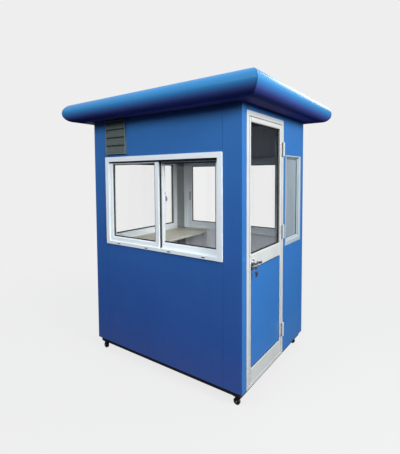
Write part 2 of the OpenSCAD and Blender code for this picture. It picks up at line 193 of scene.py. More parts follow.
def rod(start, end, radius, soft=0.0, sides=24, tip=None, paint=0):
    """A round bar from one point to another, or a cone if it has a tip radius."""
    start, end = Vector(start), Vector(end)
    part = bmesh.new()
    bmesh.ops.create_cone(part, cap_ends=True, segments=sides, radius1=radius,
                          radius2=radius if tip is None else tip, depth=(end - start).length,
                          matrix=Matrix.Translation((start + end) / 2)
                          @ (end - start).to_track_quat("Z", "Y").to_matrix().to_4x4())
    if soft:
        rims = [e for e in part.edges if e.calc_face_angle(0.0) > math.radians(60)]
        rounded(part, rims, soft, 2)
    return grown(part, paint=paint)


def turned(profile, centre, axis, sides=32, paint=0):
    """A lathe-turned part: profile points are (radius, height along the axis)."""
    part = bmesh.new()
    points = [part.verts.new((radius, 0.0, height)) for radius, height in profile]
    edges = [part.edges.new(pair) for pair in zip(points, points[1:])]
    bmesh.ops.spin(part, geom=points + edges, cent=(0, 0, 0), axis=(0, 0, 1),
                   dvec=(0, 0, 0), angle=math.tau, steps=sides, use_merge=True,
                   use_duplicate=False)
    bmesh.ops.remove_doubles(part, verts=part.verts, dist=1e-6)
    turn = Vector(axis).to_track_quat("Z", "Y").to_matrix().to_4x4()
    return grown(moved(part, Matrix.Translation(centre) @ turn), paint=paint)


# How a bar's ends are cut, and how the edges of hard members and of seals are rounded
SQUARE, MITRED = (0.0, 0.0), (1.0, 1.0)
ARRIS, SEAL_EDGE = (0.0009, 2), (0.0003, 1)


def bar(outline, reach, cuts=SQUARE, soft=0.0006, steps=1, place=Matrix(), paint=0,
        nose=0.0):
    """A bar along x. outline points are (across, deep); a cut slants an end by that
    much for each metre across. nose rounds the two outermost edges first."""
    part = pushed([(0.0, deep, across) for across, deep in outline], (reach, 0, 0))
    if nose:
        lips = [e for e in part.edges if abs(e.verts[0].co.x - e.verts[1].co.x) > reach / 2
                and max(v.co.z for v in e.verts) < 1e-6]
        rounded(part, lips, nose, 18)
    else:
        grown(part, soft, steps)
    for vert in part.verts:
        near_start = vert.co.x < reach / 2
        vert.co.x += (cuts[0] if near_start else -cuts[1]) * vert.co.z
    return grown(moved(part, place), paint=paint)


UPRIGHT = Matrix(((0, 0, 1, 0), (0, 1, 0, 0), (1, 0, 0, 0), (0, 0, 0, 1)))


def flipped(axis, about):
    """Mirrors along an axis, about a place on it."""
    normal = Vector([axis == n for n in range(3)])
    return Matrix.Translation(normal * about) @ Matrix.Scale(-1.0, 4, normal)


def ring(width, height, faces, outline_of, place, soft=0.0006, steps=1, at=(0, 0)):
    """Four mitred bars round an opening in the x-z plane. faces are those of the near
    and far jamb, the head and the sill; outline_of(face) gives a bar's outline."""
    near, far, head, foot = faces
    seat = place @ Matrix.Translation((at[0], 0, at[1]))
    return [bar(outline_of(face), reach, (start / face, end / face), soft, steps, seat @ turn)
            for face, reach, start, end, turn in (
                (foot, width, near, far, Matrix()),
                (head, width, near, far, flipped(2, height)),
                (near, height, foot, head, UPRIGHT),
                (far, height, foot, head, flipped(0, width) @ UPRIGHT))]


FACING = {"front": Matrix(), "back": Matrix.Diagonal((1, -1, 1, 1)),
          "right": Matrix.Rotation(math.pi / 2, 4, "Z"),
          "left": Matrix.Rotation(-math.pi / 2, 4, "Z")}


def standing(side, corner):
    """Places a frame drawn in x-z, with its depth along y, on one side of the booth."""
    return Matrix.Translation(corner) @ FACING[side]


def screw(at, out, radius=0.0035, rise=0.0016, paint=0):
    """A pan-head screw with a sunk drive."""
    return turned([(0.0, rise * 0.35), (radius * 0.34, rise * 0.35), (radius * 0.40, rise),
                   (radius * 0.72, rise * 0.92), (radius, rise * 0.25), (radius, -0.0004),
                   (0.0, -0.0004)], at, out, 16, paint)


def tube(points, radius, paint=0, closed=False, sides=5):
    """A round tube along a smooth line of points."""
    curve = bpy.data.curves.new("line", "CURVE")
    curve.dimensions = "3D"
    curve.bevel_depth = radius
    curve.bevel_resolution = sides
    curve.use_fill_caps = True
    curve.resolution_u = 8
    spline = curve.splines.new("BEZIER")
    spline.bezier_points.add(len(points) - 1)
    for knot, point in zip(spline.bezier_points, points):
        knot.co = point
        knot.handle_left_type = knot.handle_right_type = "AUTO"
    spline.use_cyclic_u = closed
    carrier = bpy.data.objects.new("line", curve)
    part = bmesh.new()
    part.from_mesh(bpy.data.meshes.new_from_object(carrier))
    bmesh.ops.remove_doubles(part, verts=part.verts, dist=1e-6)
    bpy.data.objects.remove(carrier)
    return grown(part, paint=paint)


def ribbed(u_from, u_to, v_from, v_to, place, paint=0):
    """A thin sheet over u and v with grooves along v, pressed away from the room."""
    sizes = bpy.context.scene.booth_shell
    pitch, half, deep, back = (sizes.rib_pitch, sizes.rib_width / 2, sizes.rib_depth,
                               sizes.lining)
    outline = [(u_from, back), (u_from, 0.0)]
    centre = math.ceil((u_from + 2 * half) / pitch) * pitch
    while centre < u_to - 2 * half:
        outline += [(centre - half, 0.0), (centre - half / 2, deep),
                    (centre + half / 2, deep), (centre + half, 0.0)]
        centre += pitch
    outline += [(u_to, 0.0), (u_to, back)]
    part = pushed([(u, w, v_from) for u, w in outline], (0, 0, v_to - v_from))
    return grown(moved(part, place), paint=paint)


def piece(name, parts, body, materials, stands_for=()):
    """Joins parts into one named piece that rides on a body of the frame."""
    whole = bmesh.new()
    carrier = bpy.data.meshes.new("carrier")
    for part in parts:
        part.to_mesh(carrier)
        whole.from_mesh(carrier)
        part.free()
    bpy.data.meshes.remove(carrier)
    bmesh.ops.recalc_face_normals(whole, faces=whole.faces)
    mesh = bpy.data.meshes.new(name)
    whole.to_mesh(mesh)
    whole.free()
    for material in materials:
        mesh.materials.append(material)
    mesh.shade_smooth()
    mesh.set_sharp_from_angle(angle=math.radians(40))
    made = bpy.data.objects.new(name, mesh)
    bpy.context.scene.collection.objects.link(made)
    even = made.modifiers.new("Even shading", "WEIGHTED_NORMAL")
    even.keep_sharp = True
    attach(made, body)
    if stands_for:
        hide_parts(*stands_for)
    return made


def repaint(node, material):
    """Gives a node of the frame, whose shape stays, its finished material."""
    mesh = frame["nodes"][node].data
    if not mesh.materials:
        mesh.materials.append(material)
    for slot in frame["nodes"][node].material_slots:
        slot.material = material


# ---------- shader groups ----------

def feed(tree, socket, value):
    """Links a value that is a socket, and sets any other."""
    if isinstance(value, bpy.types.NodeSocket):
        tree.links.new(value, socket)
    else:
        socket.default_value = value


def add_node(tree, kind, inputs=None, **settings):
    made = tree.nodes.new(kind)
    for key, value in settings.items():
        setattr(made, key, value)
    for key, value in (inputs or {}).items():
        feed(tree, made.inputs[key], value)
    return made


def new_group(name, inputs, outputs):
    """An empty shader group, with its input sockets and its output sockets."""
    tree = bpy.data.node_groups.new(name, "ShaderNodeTree")
    kinds = {float: "NodeSocketFloat", tuple: "NodeSocketColor"}
    for label, default in inputs.items():
        socket = tree.interface.new_socket(label, in_out="INPUT",
                                           socket_type=kinds[type(default)])
        socket.default_value = default
    for label, kind in outputs.items():
        tree.interface.new_socket(label, in_out="OUTPUT", socket_type=kinds[kind])
    entry, leave = tree.nodes.new("NodeGroupInput"), tree.nodes.new("NodeGroupOutput")
    return tree, entry.outputs, leave.inputs


def object_place(tree):
    return add_node(tree, "ShaderNodeTexCoord").outputs["Object"]


def surface_normal(tree):
    return add_node(tree, "ShaderNodeNewGeometry").outputs["Normal"]


def split(tree, vector):
    return add_node(tree, "ShaderNodeSeparateXYZ", {0: vector}).outputs


def object_noise(tree, scale, stretch=(1.0, 1.0, 1.0), detail=3.0, rough=0.5):
    """Noise on the object's own coordinates."""
    where = object_place(tree)
    if stretch != (1.0, 1.0, 1.0):
        where = add_node(tree, "ShaderNodeMapping",
                         {"Vector": where, "Scale": stretch}).outputs["Vector"]
    return add_node(tree, "ShaderNodeTexNoise", {
        "Vector": where, "Scale": scale, "Detail": detail, "Roughness": rough}).outputs["Fac"]


def remap(tree, value, low, high, to_low=0.0, to_high=1.0):
    return add_node(tree, "ShaderNodeMapRange", {
        "Value": value, "From Min": low, "From Max": high, "To Min": to_low,
        "To Max": to_high}).outputs["Result"]


def maths(tree, what, first, second=0.0):
    return add_node(tree, "ShaderNodeMath", {0: first, 1: second}, operation=what).outputs[0]


def plus(tree, first, second):
    return maths(tree, "ADD", first, second)


def times(tree, first, second):
    return maths(tree, "MULTIPLY", first, second)


def bumped(tree, height, strength, distance):
    return add_node(tree, "ShaderNodeBump", {"Height": height, "Strength": strength,
                                             "Distance": distance}).outputs["Normal"]


def blend_colour(tree, amount, first, second):
    mix = add_node(tree, "ShaderNodeMix", {"Factor": amount}, data_type="RGBA")
    for name, value in (("A", first), ("B", second)):
        feed(tree, next(s for s in mix.inputs if s.name == name and s.type == "RGBA"), value)
    return next(s for s in mix.outputs if s.type == "RGBA")


def mottled_tone():
    """Uneven tone of a painted or moulded surface."""
    tree, given, out = new_group("MottledTone", {
        "Tone": (0.5, 0.5, 0.5, 1.0), "Shift": 0.08, "Scale": 3.0}, {"Tone": tuple})
    wide = object_noise(tree, given["Scale"])
    fine = object_noise(tree, 90.0, detail=1.0)
    both = plus(tree, times(tree, wide, 0.8), times(tree, fine, 0.2))
    swing = times(tree, remap(tree, both, 0.3, 0.7, -1.0, 1.0), given["Shift"])
    scaled = add_node(tree, "ShaderNodeVectorMath", {
        0: given["Tone"], "Scale": plus(tree, swing, 1.0)}, operation="SCALE")
    tree.links.new(scaled.outputs[0], out["Tone"])
    return tree


def sheet_ripple():
    """Height of a thin steel sheet: slow oil-canning and a fine paint skin."""
    tree, given, out = new_group("SheetRipple", {"Wave": 1.0, "Skin": 0.03}, {"Height": float})
    wave = times(tree, object_noise(tree, 2.2, detail=1.0), given["Wave"])
    skin = times(tree, object_noise(tree, 420.0, detail=1.0), given["Skin"])
    tree.links.new(plus(tree, wave, skin), out["Height"])
    return tree


def ground_dust():
    """Dust that gathers low down, with a broken upper edge."""
    tree, given, out = new_group("GroundDust", {
        "Tone": (0.5, 0.5, 0.5, 1.0), "Dust": (0.35, 0.33, 0.30, 1.0), "Level": 0.35,
        "Amount": 0.3}, {"Tone": tuple, "Mask": float})
    place = split(tree, object_place(tree))["Z"]
    edge = plus(tree, place, remap(tree, object_noise(tree, 14.0), 0, 1, -0.12, 0.12))
    low = maths(tree, "SUBTRACT", given["Level"], edge)
    mask = times(tree, remap(tree, low, 0.0, 0.3), given["Amount"])
    tree.links.new(mask, out["Mask"])
    tree.links.new(blend_colour(tree, mask, given["Tone"], given["Dust"]), out["Tone"])
    return tree


def light_scuffs():
    """Thin rubbed marks, at two slants."""
    tree, given, out = new_group("LightScuffs", {"Scale": 9.0, "Amount": 0.5}, {"Mask": float})
    one = remap(tree, object_noise(tree, given["Scale"], (1.0, 1.0, 9.0), 5.0, 0.7),
                0.62, 0.70)
    two = remap(tree, object_noise(tree, given["Scale"], (7.0, 7.0, 0.8), 5.0, 0.7),
                0.64, 0.72)
    tree.links.new(times(tree, maths(tree, "MAXIMUM", one, two), given["Amount"]), out["Mask"])
    return tree


def drawn_grain():
    """Fine lines left on metal by drawing or brushing."""
    tree, given, out = new_group("DrawnGrain", {"Scale": 60.0}, {"Value": float})
    tree.links.new(object_noise(tree, given["Scale"], (12.0, 1.0, 1.0), 4.0, 0.7), out["Value"])
    return tree


def edge_wear():
    """Where edges are rubbed bright."""
    tree, given, out = new_group("EdgeWear", {"Radius": 0.002, "Amount": 0.6}, {"Mask": float})
    soft = add_node(tree, "ShaderNodeBevel", {"Radius": given["Radius"]}, samples=4)
    match = add_node(tree, "ShaderNodeVectorMath", {
        0: soft.outputs[0], 1: surface_normal(tree)}, operation="DOT_PRODUCT").outputs["Value"]
    worn = remap(tree, match, 0.99, 0.86)
    broken = remap(tree, object_noise(tree, 35.0, detail=4.0), 0.42, 0.6)
    tree.links.new(times(tree, times(tree, worn, broken), given["Amount"]), out["Mask"])
    return tree


def run_streaks():
    """Faint upright runs, as rain leaves on a wall or fingers on a sheet; on the soffit, lighter
    streaks painted on as reflection.
    """
    tree, given, out = new_group("RunStreaks", {"Amount": 0.3}, {"Mask": float})
    runs = object_noise(tree, 5.0, (7.0, 7.0, 0.35), 4.0, 0.6)
    tree.links.new(times(tree, remap(tree, runs, 0.48, 0.72), given["Amount"]), out["Mask"])
    return tree


def sun_fade():
    """Painted shade: a darker tone low on the walls and on the sides turned away from the door,
    and a lighter tone high up and on the door side, standing in for how the light falls."""
    tree, given, out = new_group("SunFade", {
        "Deep": (0.5, 0.5, 0.5, 1.0), "Faded": (0.5, 0.5, 0.5, 1.0), "Low": 0.2,
        "High": 2.0}, {"Tone": tuple})
    height = split(tree, object_place(tree))["Z"]
    facing = split(tree, surface_normal(tree))["X"]
    # Painted shade: darker low down and on faces turned away from the door side, lighter high up
    # and towards it.
    mask = maths(tree, "MAXIMUM", remap(tree, height, given["Low"], given["High"]),
                 remap(tree, facing, 0.3, 0.8))
    tree.links.new(blend_colour(tree, mask, given["Deep"], given["Faded"]), out["Tone"])
    return tree


def facing_down():
    """How far a surface turns to the ground."""
    tree, given, out = new_group("FacingDown", {"Start": 0.0, "End": 0.7}, {"Mask": float})
    downward = times(tree, split(tree, surface_normal(tree))["Z"], -1.0)
    tree.links.new(remap(tree, downward, given["Start"], given["End"]), out["Mask"])
    return tree


GROUP_MAKERS = {maker.__name__: maker for maker in (
    mottled_tone, sheet_ripple, ground_dust, light_scuffs, drawn_grain, edge_wear,
    run_streaks, sun_fade, facing_down)}
groups = {}
finishes = {}


def use_group(tree, maker, inputs):
    """Places a shared group, built once, with its own values."""
    if maker not in groups:
        groups[maker] = GROUP_MAKERS[maker]()
    placed = tree.nodes.new("ShaderNodeGroup")
    placed.node_tree = groups[maker]
    for key, value in inputs.items():
        feed(tree, placed.inputs[key], value)
    return placed.outputs


# ---------- materials ----------

def finish(fill):
    """Makes a material maker from a function that fills its tree; each name is made
    once."""
    def maker(name, *args, **settings):
        if name not in finishes:
            finishes[name] = bpy.data.materials.new(name)
            finishes[name].use_nodes = True
            tree = finishes[name].node_tree
            fill(tree, tree.nodes["Principled BSDF"].inputs, *args, **settings)
        return finishes[name]
    return maker


@finish
def coated(tree, surface, tone, rough=0.4, rough_swing=0.06, shift=0.06, scale=3.0, wave=0.0,
           skin=0.03, bump=0.15, dust=0.0, dust_level=0.45, streaks=0.0, scuffs=0.0,
           wear=0.0, bare=(0.35, 0.36, 0.38), metallic=0.0, grain=0.0, deep=None,
           under=None, shine=0.5):
    """A painted, moulded or metal surface with its own unevenness. deep, if given, is a darker
    tone painted on as shade low down and on the sides away from the door; under, if given, is a
    darker tone painted on as shade where the surface faces the ground."""
    ground = (*tone, 1.0)
    # Painted shade low down and on the sides away from the door.
    if deep:
        ground = use_group(tree, "sun_fade", {"Deep": (*deep, 1.0), "Faded": ground})["Tone"]
    # Painted shade where the surface faces the ground, with less shine there too.
    if under:
        turned_down = use_group(tree, "facing_down", {})["Mask"]
        ground = blend_colour(tree, turned_down, ground, (*under, 1.0))
    hue = use_group(tree, "mottled_tone", {"Tone": ground, "Shift": shift,
                                           "Scale": scale})["Tone"]
    gloss = remap(tree, object_noise(tree, scale * 1.7), 0.3, 0.7, rough - rough_swing,
                  rough + rough_swing)
    if under:
        gloss = plus(tree, gloss, times(tree, turned_down, 0.35))
        shine = remap(tree, turned_down, 0.0, 1.0, shine, 0.02)
    # Lighter upright streaks: dirt runs on most surfaces, a painted reflection on the soffit.
    if streaks:
        mask = use_group(tree, "run_streaks", {"Amount": streaks})["Mask"]
        hue = blend_colour(tree, mask, hue, (*[c * 1.6 + 0.01 for c in tone], 1.0))
        gloss = plus(tree, gloss, times(tree, mask, 0.25))
    if scuffs:
        mask = use_group(tree, "light_scuffs", {"Amount": scuffs})["Mask"]
        hue = blend_colour(tree, mask, hue, (*[c * 0.55 + 0.10 for c in tone], 1.0))
        gloss = plus(tree, gloss, times(tree, mask, 0.2))
    if dust:
        soiled = use_group(tree, "ground_dust", {"Tone": hue, "Amount": dust,
                                                 "Level": dust_level})
        hue = soiled["Tone"]
        gloss = plus(tree, gloss, times(tree, soiled["Mask"], 0.5))
    if wear:
        mask = use_group(tree, "edge_wear", {"Amount": wear})["Mask"]
        hue = blend_colour(tree, mask, hue, (*bare, 1.0))
    height = use_group(tree, "sheet_ripple", {"Wave": wave, "Skin": skin})["Height"]
    if grain:
        lines = use_group(tree, "drawn_grain", {"Scale": grain})["Value"]
        height = plus(tree, height, times(tree, lines, 0.1))
        gloss = plus(tree, gloss, remap(tree, lines, 0.3, 0.7, -0.05, 0.08))
    for socket, value in (("Base Color", hue), ("Roughness", gloss),
                          ("Normal", bumped(tree, height, bump, 0.004)), ("Metallic", metallic),
                          ("Specular IOR Level", shine)):
        feed(tree, surface[socket], value)


@finish
def pane_glass(tree, surface, tint, alpha, rough, clear=1.0):
    """Window glass, faintly smeared."""
    smear = object_noise(tree, 6.0, (1.0, 1.0, 0.5), 4.0)
    for socket, value in (("Roughness", remap(tree, smear, 0.45, 0.75, rough, rough + 0.10)),
                          ("Alpha", remap(tree, smear, 0.4, 0.8, alpha, alpha * 1.25)),
                          ("Base Color", (*tint, 1.0)), ("Transmission Weight", clear),
                          ("IOR", 1.45)):
        feed(tree, surface[socket], value)


@finish
def laminate(tree, surface, tone):
    """Wood-look laminate: long grain along the desk."""
    where = object_place(tree)
    rings = add_node(tree, "ShaderNodeTexWave", {
        "Vector": add_node(tree, "ShaderNodeMapping", {
            "Vector": where, "Scale": (1.0, 0.12, 1.0)}).outputs["Vector"],
        "Scale": 9.0, "Distortion": 6.0, "Detail": 3.0, "Detail Scale": 1.6},
        wave_type="BANDS", bands_direction="X").outputs["Fac"]
    pores = object_noise(tree, 60.0, (3.0, 0.25, 1.0), 5.0, 0.7)
    figure = plus(tree, times(tree, rings, 0.55), times(tree, pores, 0.45))
    hue = blend_colour(tree, remap(tree, figure, 0.25, 0.75),
                       (*[c * 0.80 for c in tone], 1.0), (*[c * 1.12 for c in tone], 1.0))
    marks = use_group(tree, "light_scuffs", {"Scale": 6.0, "Amount": 0.25})["Mask"]
    feed(tree, surface["Base Color"], blend_colour(tree, marks, hue, (0.62, 0.60, 0.54, 1.0)))
    feed(tree, surface["Roughness"], remap(tree, pores, 0.3, 0.7, 0.34, 0.5))
    feed(tree, surface["Normal"], bumped(tree, pores, 0.12, 0.001))


@finish
def tread_plate(tree, surface, tone):
    """Floor steel with a pressed tread of short bars set crosswise."""
    where = object_place(tree)
    masks = []
    for angle, slide in ((45.0, 0.0), (-45.0, 0.5)):
        cell = add_node(tree, "ShaderNodeVectorMath", {
            0: add_node(tree, "ShaderNodeMapping", {
                "Vector": where, "Location": (slide, slide, 0.0),
                "Rotation": (0.0, 0.0, math.radians(angle)),
                "Scale": (26.0, 26.0, 0.0)}).outputs["Vector"]}, operation="FRACTION")
        centred = add_node(tree, "ShaderNodeVectorMath", {
            0: cell.outputs[0], 1: (0.5, 0.5, 0.0)}, operation="SUBTRACT")
        squeezed = add_node(tree, "ShaderNodeVectorMath", {
            0: centred.outputs[0], 1: (2.4, 8.0, 0.0)}, operation="MULTIPLY")
        reach = add_node(tree, "ShaderNodeVectorMath", {0: squeezed.outputs[0]},
                         operation="LENGTH").outputs["Value"]
        masks.append(remap(tree, reach, 0.8, 1.05, 1.0, 0.0))
    raised = maths(tree, "MAXIMUM", masks[0], masks[1])
    hue = use_group(tree, "mottled_tone", {"Tone": (*tone, 1.0), "Shift": 0.15,
                                           "Scale": 6.0})["Tone"]
    rubbed = times(tree, raised, 0.35)
    feed(tree, surface["Base Color"], blend_colour(tree, rubbed, hue, (0.55, 0.55, 0.54, 1.0)))
    feed(tree, surface["Roughness"],
         remap(tree, object_noise(tree, 8.0), 0.3, 0.7, 0.35, 0.6))
    feed(tree, surface["Normal"], bumped(tree, raised, 0.6, 0.0015))
    feed(tree, surface["Metallic"], 0.4)


def paints():
    return bpy.context.scene.booth_colours


def wall_paint():
    # Painted shade: deep darkens the walls low down and on the sides away from the door; dust,
    # runs and scuffs are the sheet's own marks.
    return coated("Wall sheet blue", paints().wall, 0.36, 0.05, 0.05, 2.0, 1.0, 0.03, 0.16,
                  dust=0.05, streaks=0.05, scuffs=0.08, deep=paints().wall_painted_shade)


def white_coat():
    return coated("Powder coat white", paints().white, 0.38, 0.05, 0.03, 5.0, 0.0, 0.12, 0.10,
                  dust=0.12, dust_level=0.25, scuffs=0.10)


def door_coat():
    return coated("Door coat white", paints().door, 0.40, 0.05, 0.05, 7.0, 0.0, 0.12, 0.10,
                  dust=0.12, dust_level=0.25, scuffs=0.15)


def rubber():
    return coated("Seal rubber", (0.012, 0.012, 0.013), 0.6, 0.1, 0.2, 30.0, 0.0, 0.3, 0.3)


def clear_glass():
    return pane_glass("Clear glass", (0.97, 0.99, 0.98), 0.025, 0.0)


def bright_steel():
    return coated("Bright steel", (0.62, 0.63, 0.64), 0.22, 0.06, 0.08, 20.0, 0.0, 0.05, 0.1,
                  metallic=1.0, grain=60.0)


def lining_paint():
    return coated("Lining grey", paints().lining, 0.42, 0.06, 0.06, 2.5, 0.6, 0.05, 0.12,
                  dust=0.10, scuffs=0.15)


# Painted shade: the ceiling sheet and the left wall's upper lining take this dark tone for the
# shade in the room's top.
def ceiling_painted_shade():
    return coated("Ceiling blue grey", paints().ceiling, 0.42, 0.06, 0.06, 2.5, 0.6, 0.05, 0.12,
                  scuffs=0.10)


def post_paint():
    return coated("Post grey", paints().inner_post, 0.45, 0.06, 0.10, 4.0, 0.6, 0.05, 0.12,
                  dust=0.10, streaks=0.2, scuffs=0.15)


def black_paint():
    return coated("Frame black", paints().black, 0.42, 0.08, 0.2, 9.0, 0.0, 0.2, 0.2,
                  dust=0.10, dust_level=0.2, wear=0.35)


# ---------- base ----------

def tube_section(side):
    return [(0.0, 0.0), (side, 0.0), (side, side), (0.0, side)]


LAID = Matrix(((1, 0, 0, 0), (0, 0, 1, 0), (0, 1, 0, 0), (0, 0, 0, 1)))


CROSS_TUBES = (-0.24, 0.24)


class BOOTH_OT_base(bpy.types.Operator):
    """Builds the welded base frame and the floor deck"""
    bl_idname = "booth.base"
    bl_label = "Base and floor"

    def execute(self, context):
        low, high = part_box("base_frame")
        side = high.z - low.z
        soft = context.scene.booth_shell.tube_round
        wide, deep = high.x - low.x, high.y - low.y
        seat = Matrix.Translation(low) @ LAID
        parts = ring(wide, deep, (side,) * 4, tube_section, seat, soft, 4)
        for x in CROSS_TUBES:
            parts.append(bar(tube_section(side), deep - 2 * side + 0.004, SQUARE, soft, 4,
                             Matrix.Translation((x - side / 2, low.y + side - 0.002, low.z))
                             @ Matrix.Rotation(math.pi / 2, 4, "Z")
                             @ Matrix.Scale(-1, 4, (0, 1, 0)) @ LAID))
            for y in (low.y + side, high.y - side):
                for edge in (x - side / 2, x + side / 2):
                    parts.append(tube([(edge, y, low.z + 0.004), (edge + 0.0007, y, 0.090),
                                       (edge - 0.0006, y, 0.102), (edge, y, high.z - 0.004)],
                                      0.0028, 1))
        for x in (low.x, high.x):
            for y in (low.y, high.y):
                inward = Vector((-math.copysign(0.002, x), -math.copysign(0.002, y), 0.0))
                corner = Vector((x, y, 0.0)) + inward
                parts.append(tube([corner + Vector((0, 0, z)) for z in
                                   (low.z + 0.006, 0.088, 0.100, high.z - 0.006)], 0.0024, 1))
        weld = coated("Weld bead", (0.05, 0.05, 0.055), 0.5, 0.1, 0.3, 60.0, 0.0, 0.4, 0.5)
        piece("base_tubes", parts, "shell", [black_paint(), weld],
              ("base_frame",))

        low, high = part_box("floor_deck")
        half = (low.x + high.x) / 2
        sheets = [block((low.x, low.y, low.z), (half - 0.0008, high.y, high.z), 0.0012),
                  block((half + 0.0008, low.y, low.z), (high.x, high.y, high.z), 0.0012)]
        for x in (low.x + 0.03, half - 0.03, half + 0.03, high.x - 0.03):
            for n in range(5):
                y = low.y + 0.06 + n * (high.y - low.y - 0.12) / 4
                sheets.append(screw((x, y, high.z), (0, 0, 1), 0.006, 0.002, 1))
        piece("floor_plates", sheets, "shell",
              [tread_plate("Tread plate", paints().floor), bright_steel()], ("floor_deck",))
        return {"FINISHED"}


# ---------- walls ----------

WALL = 0.050
POST_LEG_X = 0.150
# A corner angle's leg along y, by row (front -1, back 1) and end (left -1, right 1)
POST_LEG_Y = {(-1, -1): 0.080, (-1, 1): 0.063, (1, -1): 0.080, (1, 1): 0.075}
WALLS = {"front_wall_lower": "front", "front_wall_upper": "front",
         "back_wall_lower": "back", "back_wall_upper": "back",
         "left_wall_lower": "left", "left_wall_upper": "left",
         "door_header": "right", "door_side_post": "right",
         "side_wall_lower": "right", "side_wall_upper": "right"}


def lining_place(side, low, high):
    """Lays a ribbed sheet on the room side of a wall: u along it, v up."""
    return {
        "front": Matrix(((1, 0, 0, 0), (0, -1, 0, high.y), (0, 0, 1, 0), (0, 0, 0, 1))),
        "back": Matrix(((1, 0, 0, 0), (0, 1, 0, low.y), (0, 0, 1, 0), (0, 0, 0, 1))),
        "left": Matrix(((0, -1, 0, high.x), (1, 0, 0, 0), (0, 0, 1, 0), (0, 0, 0, 1))),
        "right": Matrix(((0, 1, 0, low.x), (1, 0, 0, 0), (0, 0, 1, 0), (0, 0, 0, 1)))}[side]


def wall_panel(side, low, high, lining, soft, gap=0.0004):
    """The outer sheet and core of a wall, without its inner sheet."""
    low, high = low.copy(), high.copy()
    along = 0 if side in ("front", "back") else 1
    low[along] += gap
    high[along] -= gap
    if side in ("front", "left"):
        high[1 - along] -= lining
    else:
        low[1 - along] += lining
    return block(low, high, soft)


def cut_hole(part, low, high):
    """Cuts a square hole through a panel that lies in the x-z plane, and closes its
    sides."""
    for axis, edges in ((0, (low.x, high.x)), (2, (low.z, high.z))):
        for edge in edges:
            normal = Vector([axis == n for n in range(3)])
            bmesh.ops.bisect_plane(part, geom=part.verts[:] + part.edges[:] + part.faces[:],
                                   dist=1e-6, plane_co=normal * edge, plane_no=normal)
    inside = [f for f in part.faces if low.x < f.calc_center_median().x < high.x
              and low.z < f.calc_center_median().z < high.z]
    bmesh.ops.delete(part, geom=inside, context="FACES")
    rim = [e for e in part.edges if len(e.link_faces) == 1]
    bmesh.ops.bridge_loops(part, edges=rim)
    return part


class BOOTH_OT_walls(bpy.types.Operator):
    """Builds the painted wall panels and corner posts, and their ribbed inner sheets"""
    bl_idname = "booth.walls"
    bl_label = "Walls and lining"

    def execute(self, context):
        sizes = context.scene.booth_shell
        lining, soft = sizes.lining, sizes.panel_edge
        vent_low, vent_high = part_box("vent_frame")
        for node, side in WALLS.items():
            low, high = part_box(node)
            panel = wall_panel(side, low, high, lining, soft)
            along = 0 if side in ("front", "back") else 1
            place = lining_place(side, low, high)
            spans = [(low[along], high[along], low.z, high.z)]
            if node == "front_wall_upper":
                cut_hole(panel, vent_low, vent_high)
                spans = [(low.x, vent_low.x, low.z, high.z),
                         (vent_low.x, vent_high.x, low.z, vent_low.z),
                         (vent_low.x, vent_high.x, vent_high.z, high.z),
                         (vent_high.x, high.x, low.z, high.z)]
            piece(node + "_panel", [panel], "shell", [wall_paint()], (node,))
            # The left wall's upper lining takes the ceiling's dark tone, as painted shade.
            paint = ceiling_painted_shade() if node == "left_wall_upper" else lining_paint()
            piece(node + "_lining", [ribbed(*span, place) for span in spans], "shell",
                  [paint])

        skin = WALL - lining
        for row, node in ((-1, "front_corner_posts"), (1, "back_corner_posts")):
            low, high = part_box(node)
            parts, sheets = [], []
            for end in (-1, 1):
                leg_x, leg_y = POST_LEG_X, POST_LEG_Y[(row, end)]
                outline = [(0, 0), (leg_x, 0), (leg_x, skin), (skin, skin), (skin, leg_y),
                           (0, leg_y)]
                part = grown(pushed([(*point, 0.0) for point in outline],
                                    (0, 0, high.z - low.z)), soft)
                corner = Vector((low.x if end < 0 else high.x,
                                 low.y if row < 0 else high.y, low.z))
                parts.append(moved(part, Matrix.Translation(corner)
                                   @ Matrix.Diagonal((-end, -row, 1, 1))))
                room = Vector((corner.x - end * WALL, corner.y - row * WALL, 0))
                for side, inner, outer in (
                        ("front" if row < 0 else "back", room.x, corner.x - end * leg_x),
                        ("left" if end < 0 else "right", room.y, corner.y - row * leg_y)):
                    sheets.append(ribbed(min(inner, outer), max(inner, outer), low.z, high.z,
                                         lining_place(side, room, room)))
            name = node.replace("_corner_posts", "_corner")
            piece(name + "_angles", parts, "shell", [wall_paint()],
                  (node, node.replace("corner_posts", "wall_ends")))
            piece(name + "_lining", sheets, "shell", [post_paint()])
        return {"FINISHED"}


# ---------- roof ----------

MITRE_GAP = 0.0015
# A fascia's round nose, as a share of its height: a full half would leave no flat between
NEARLY_HALF = 0.4995


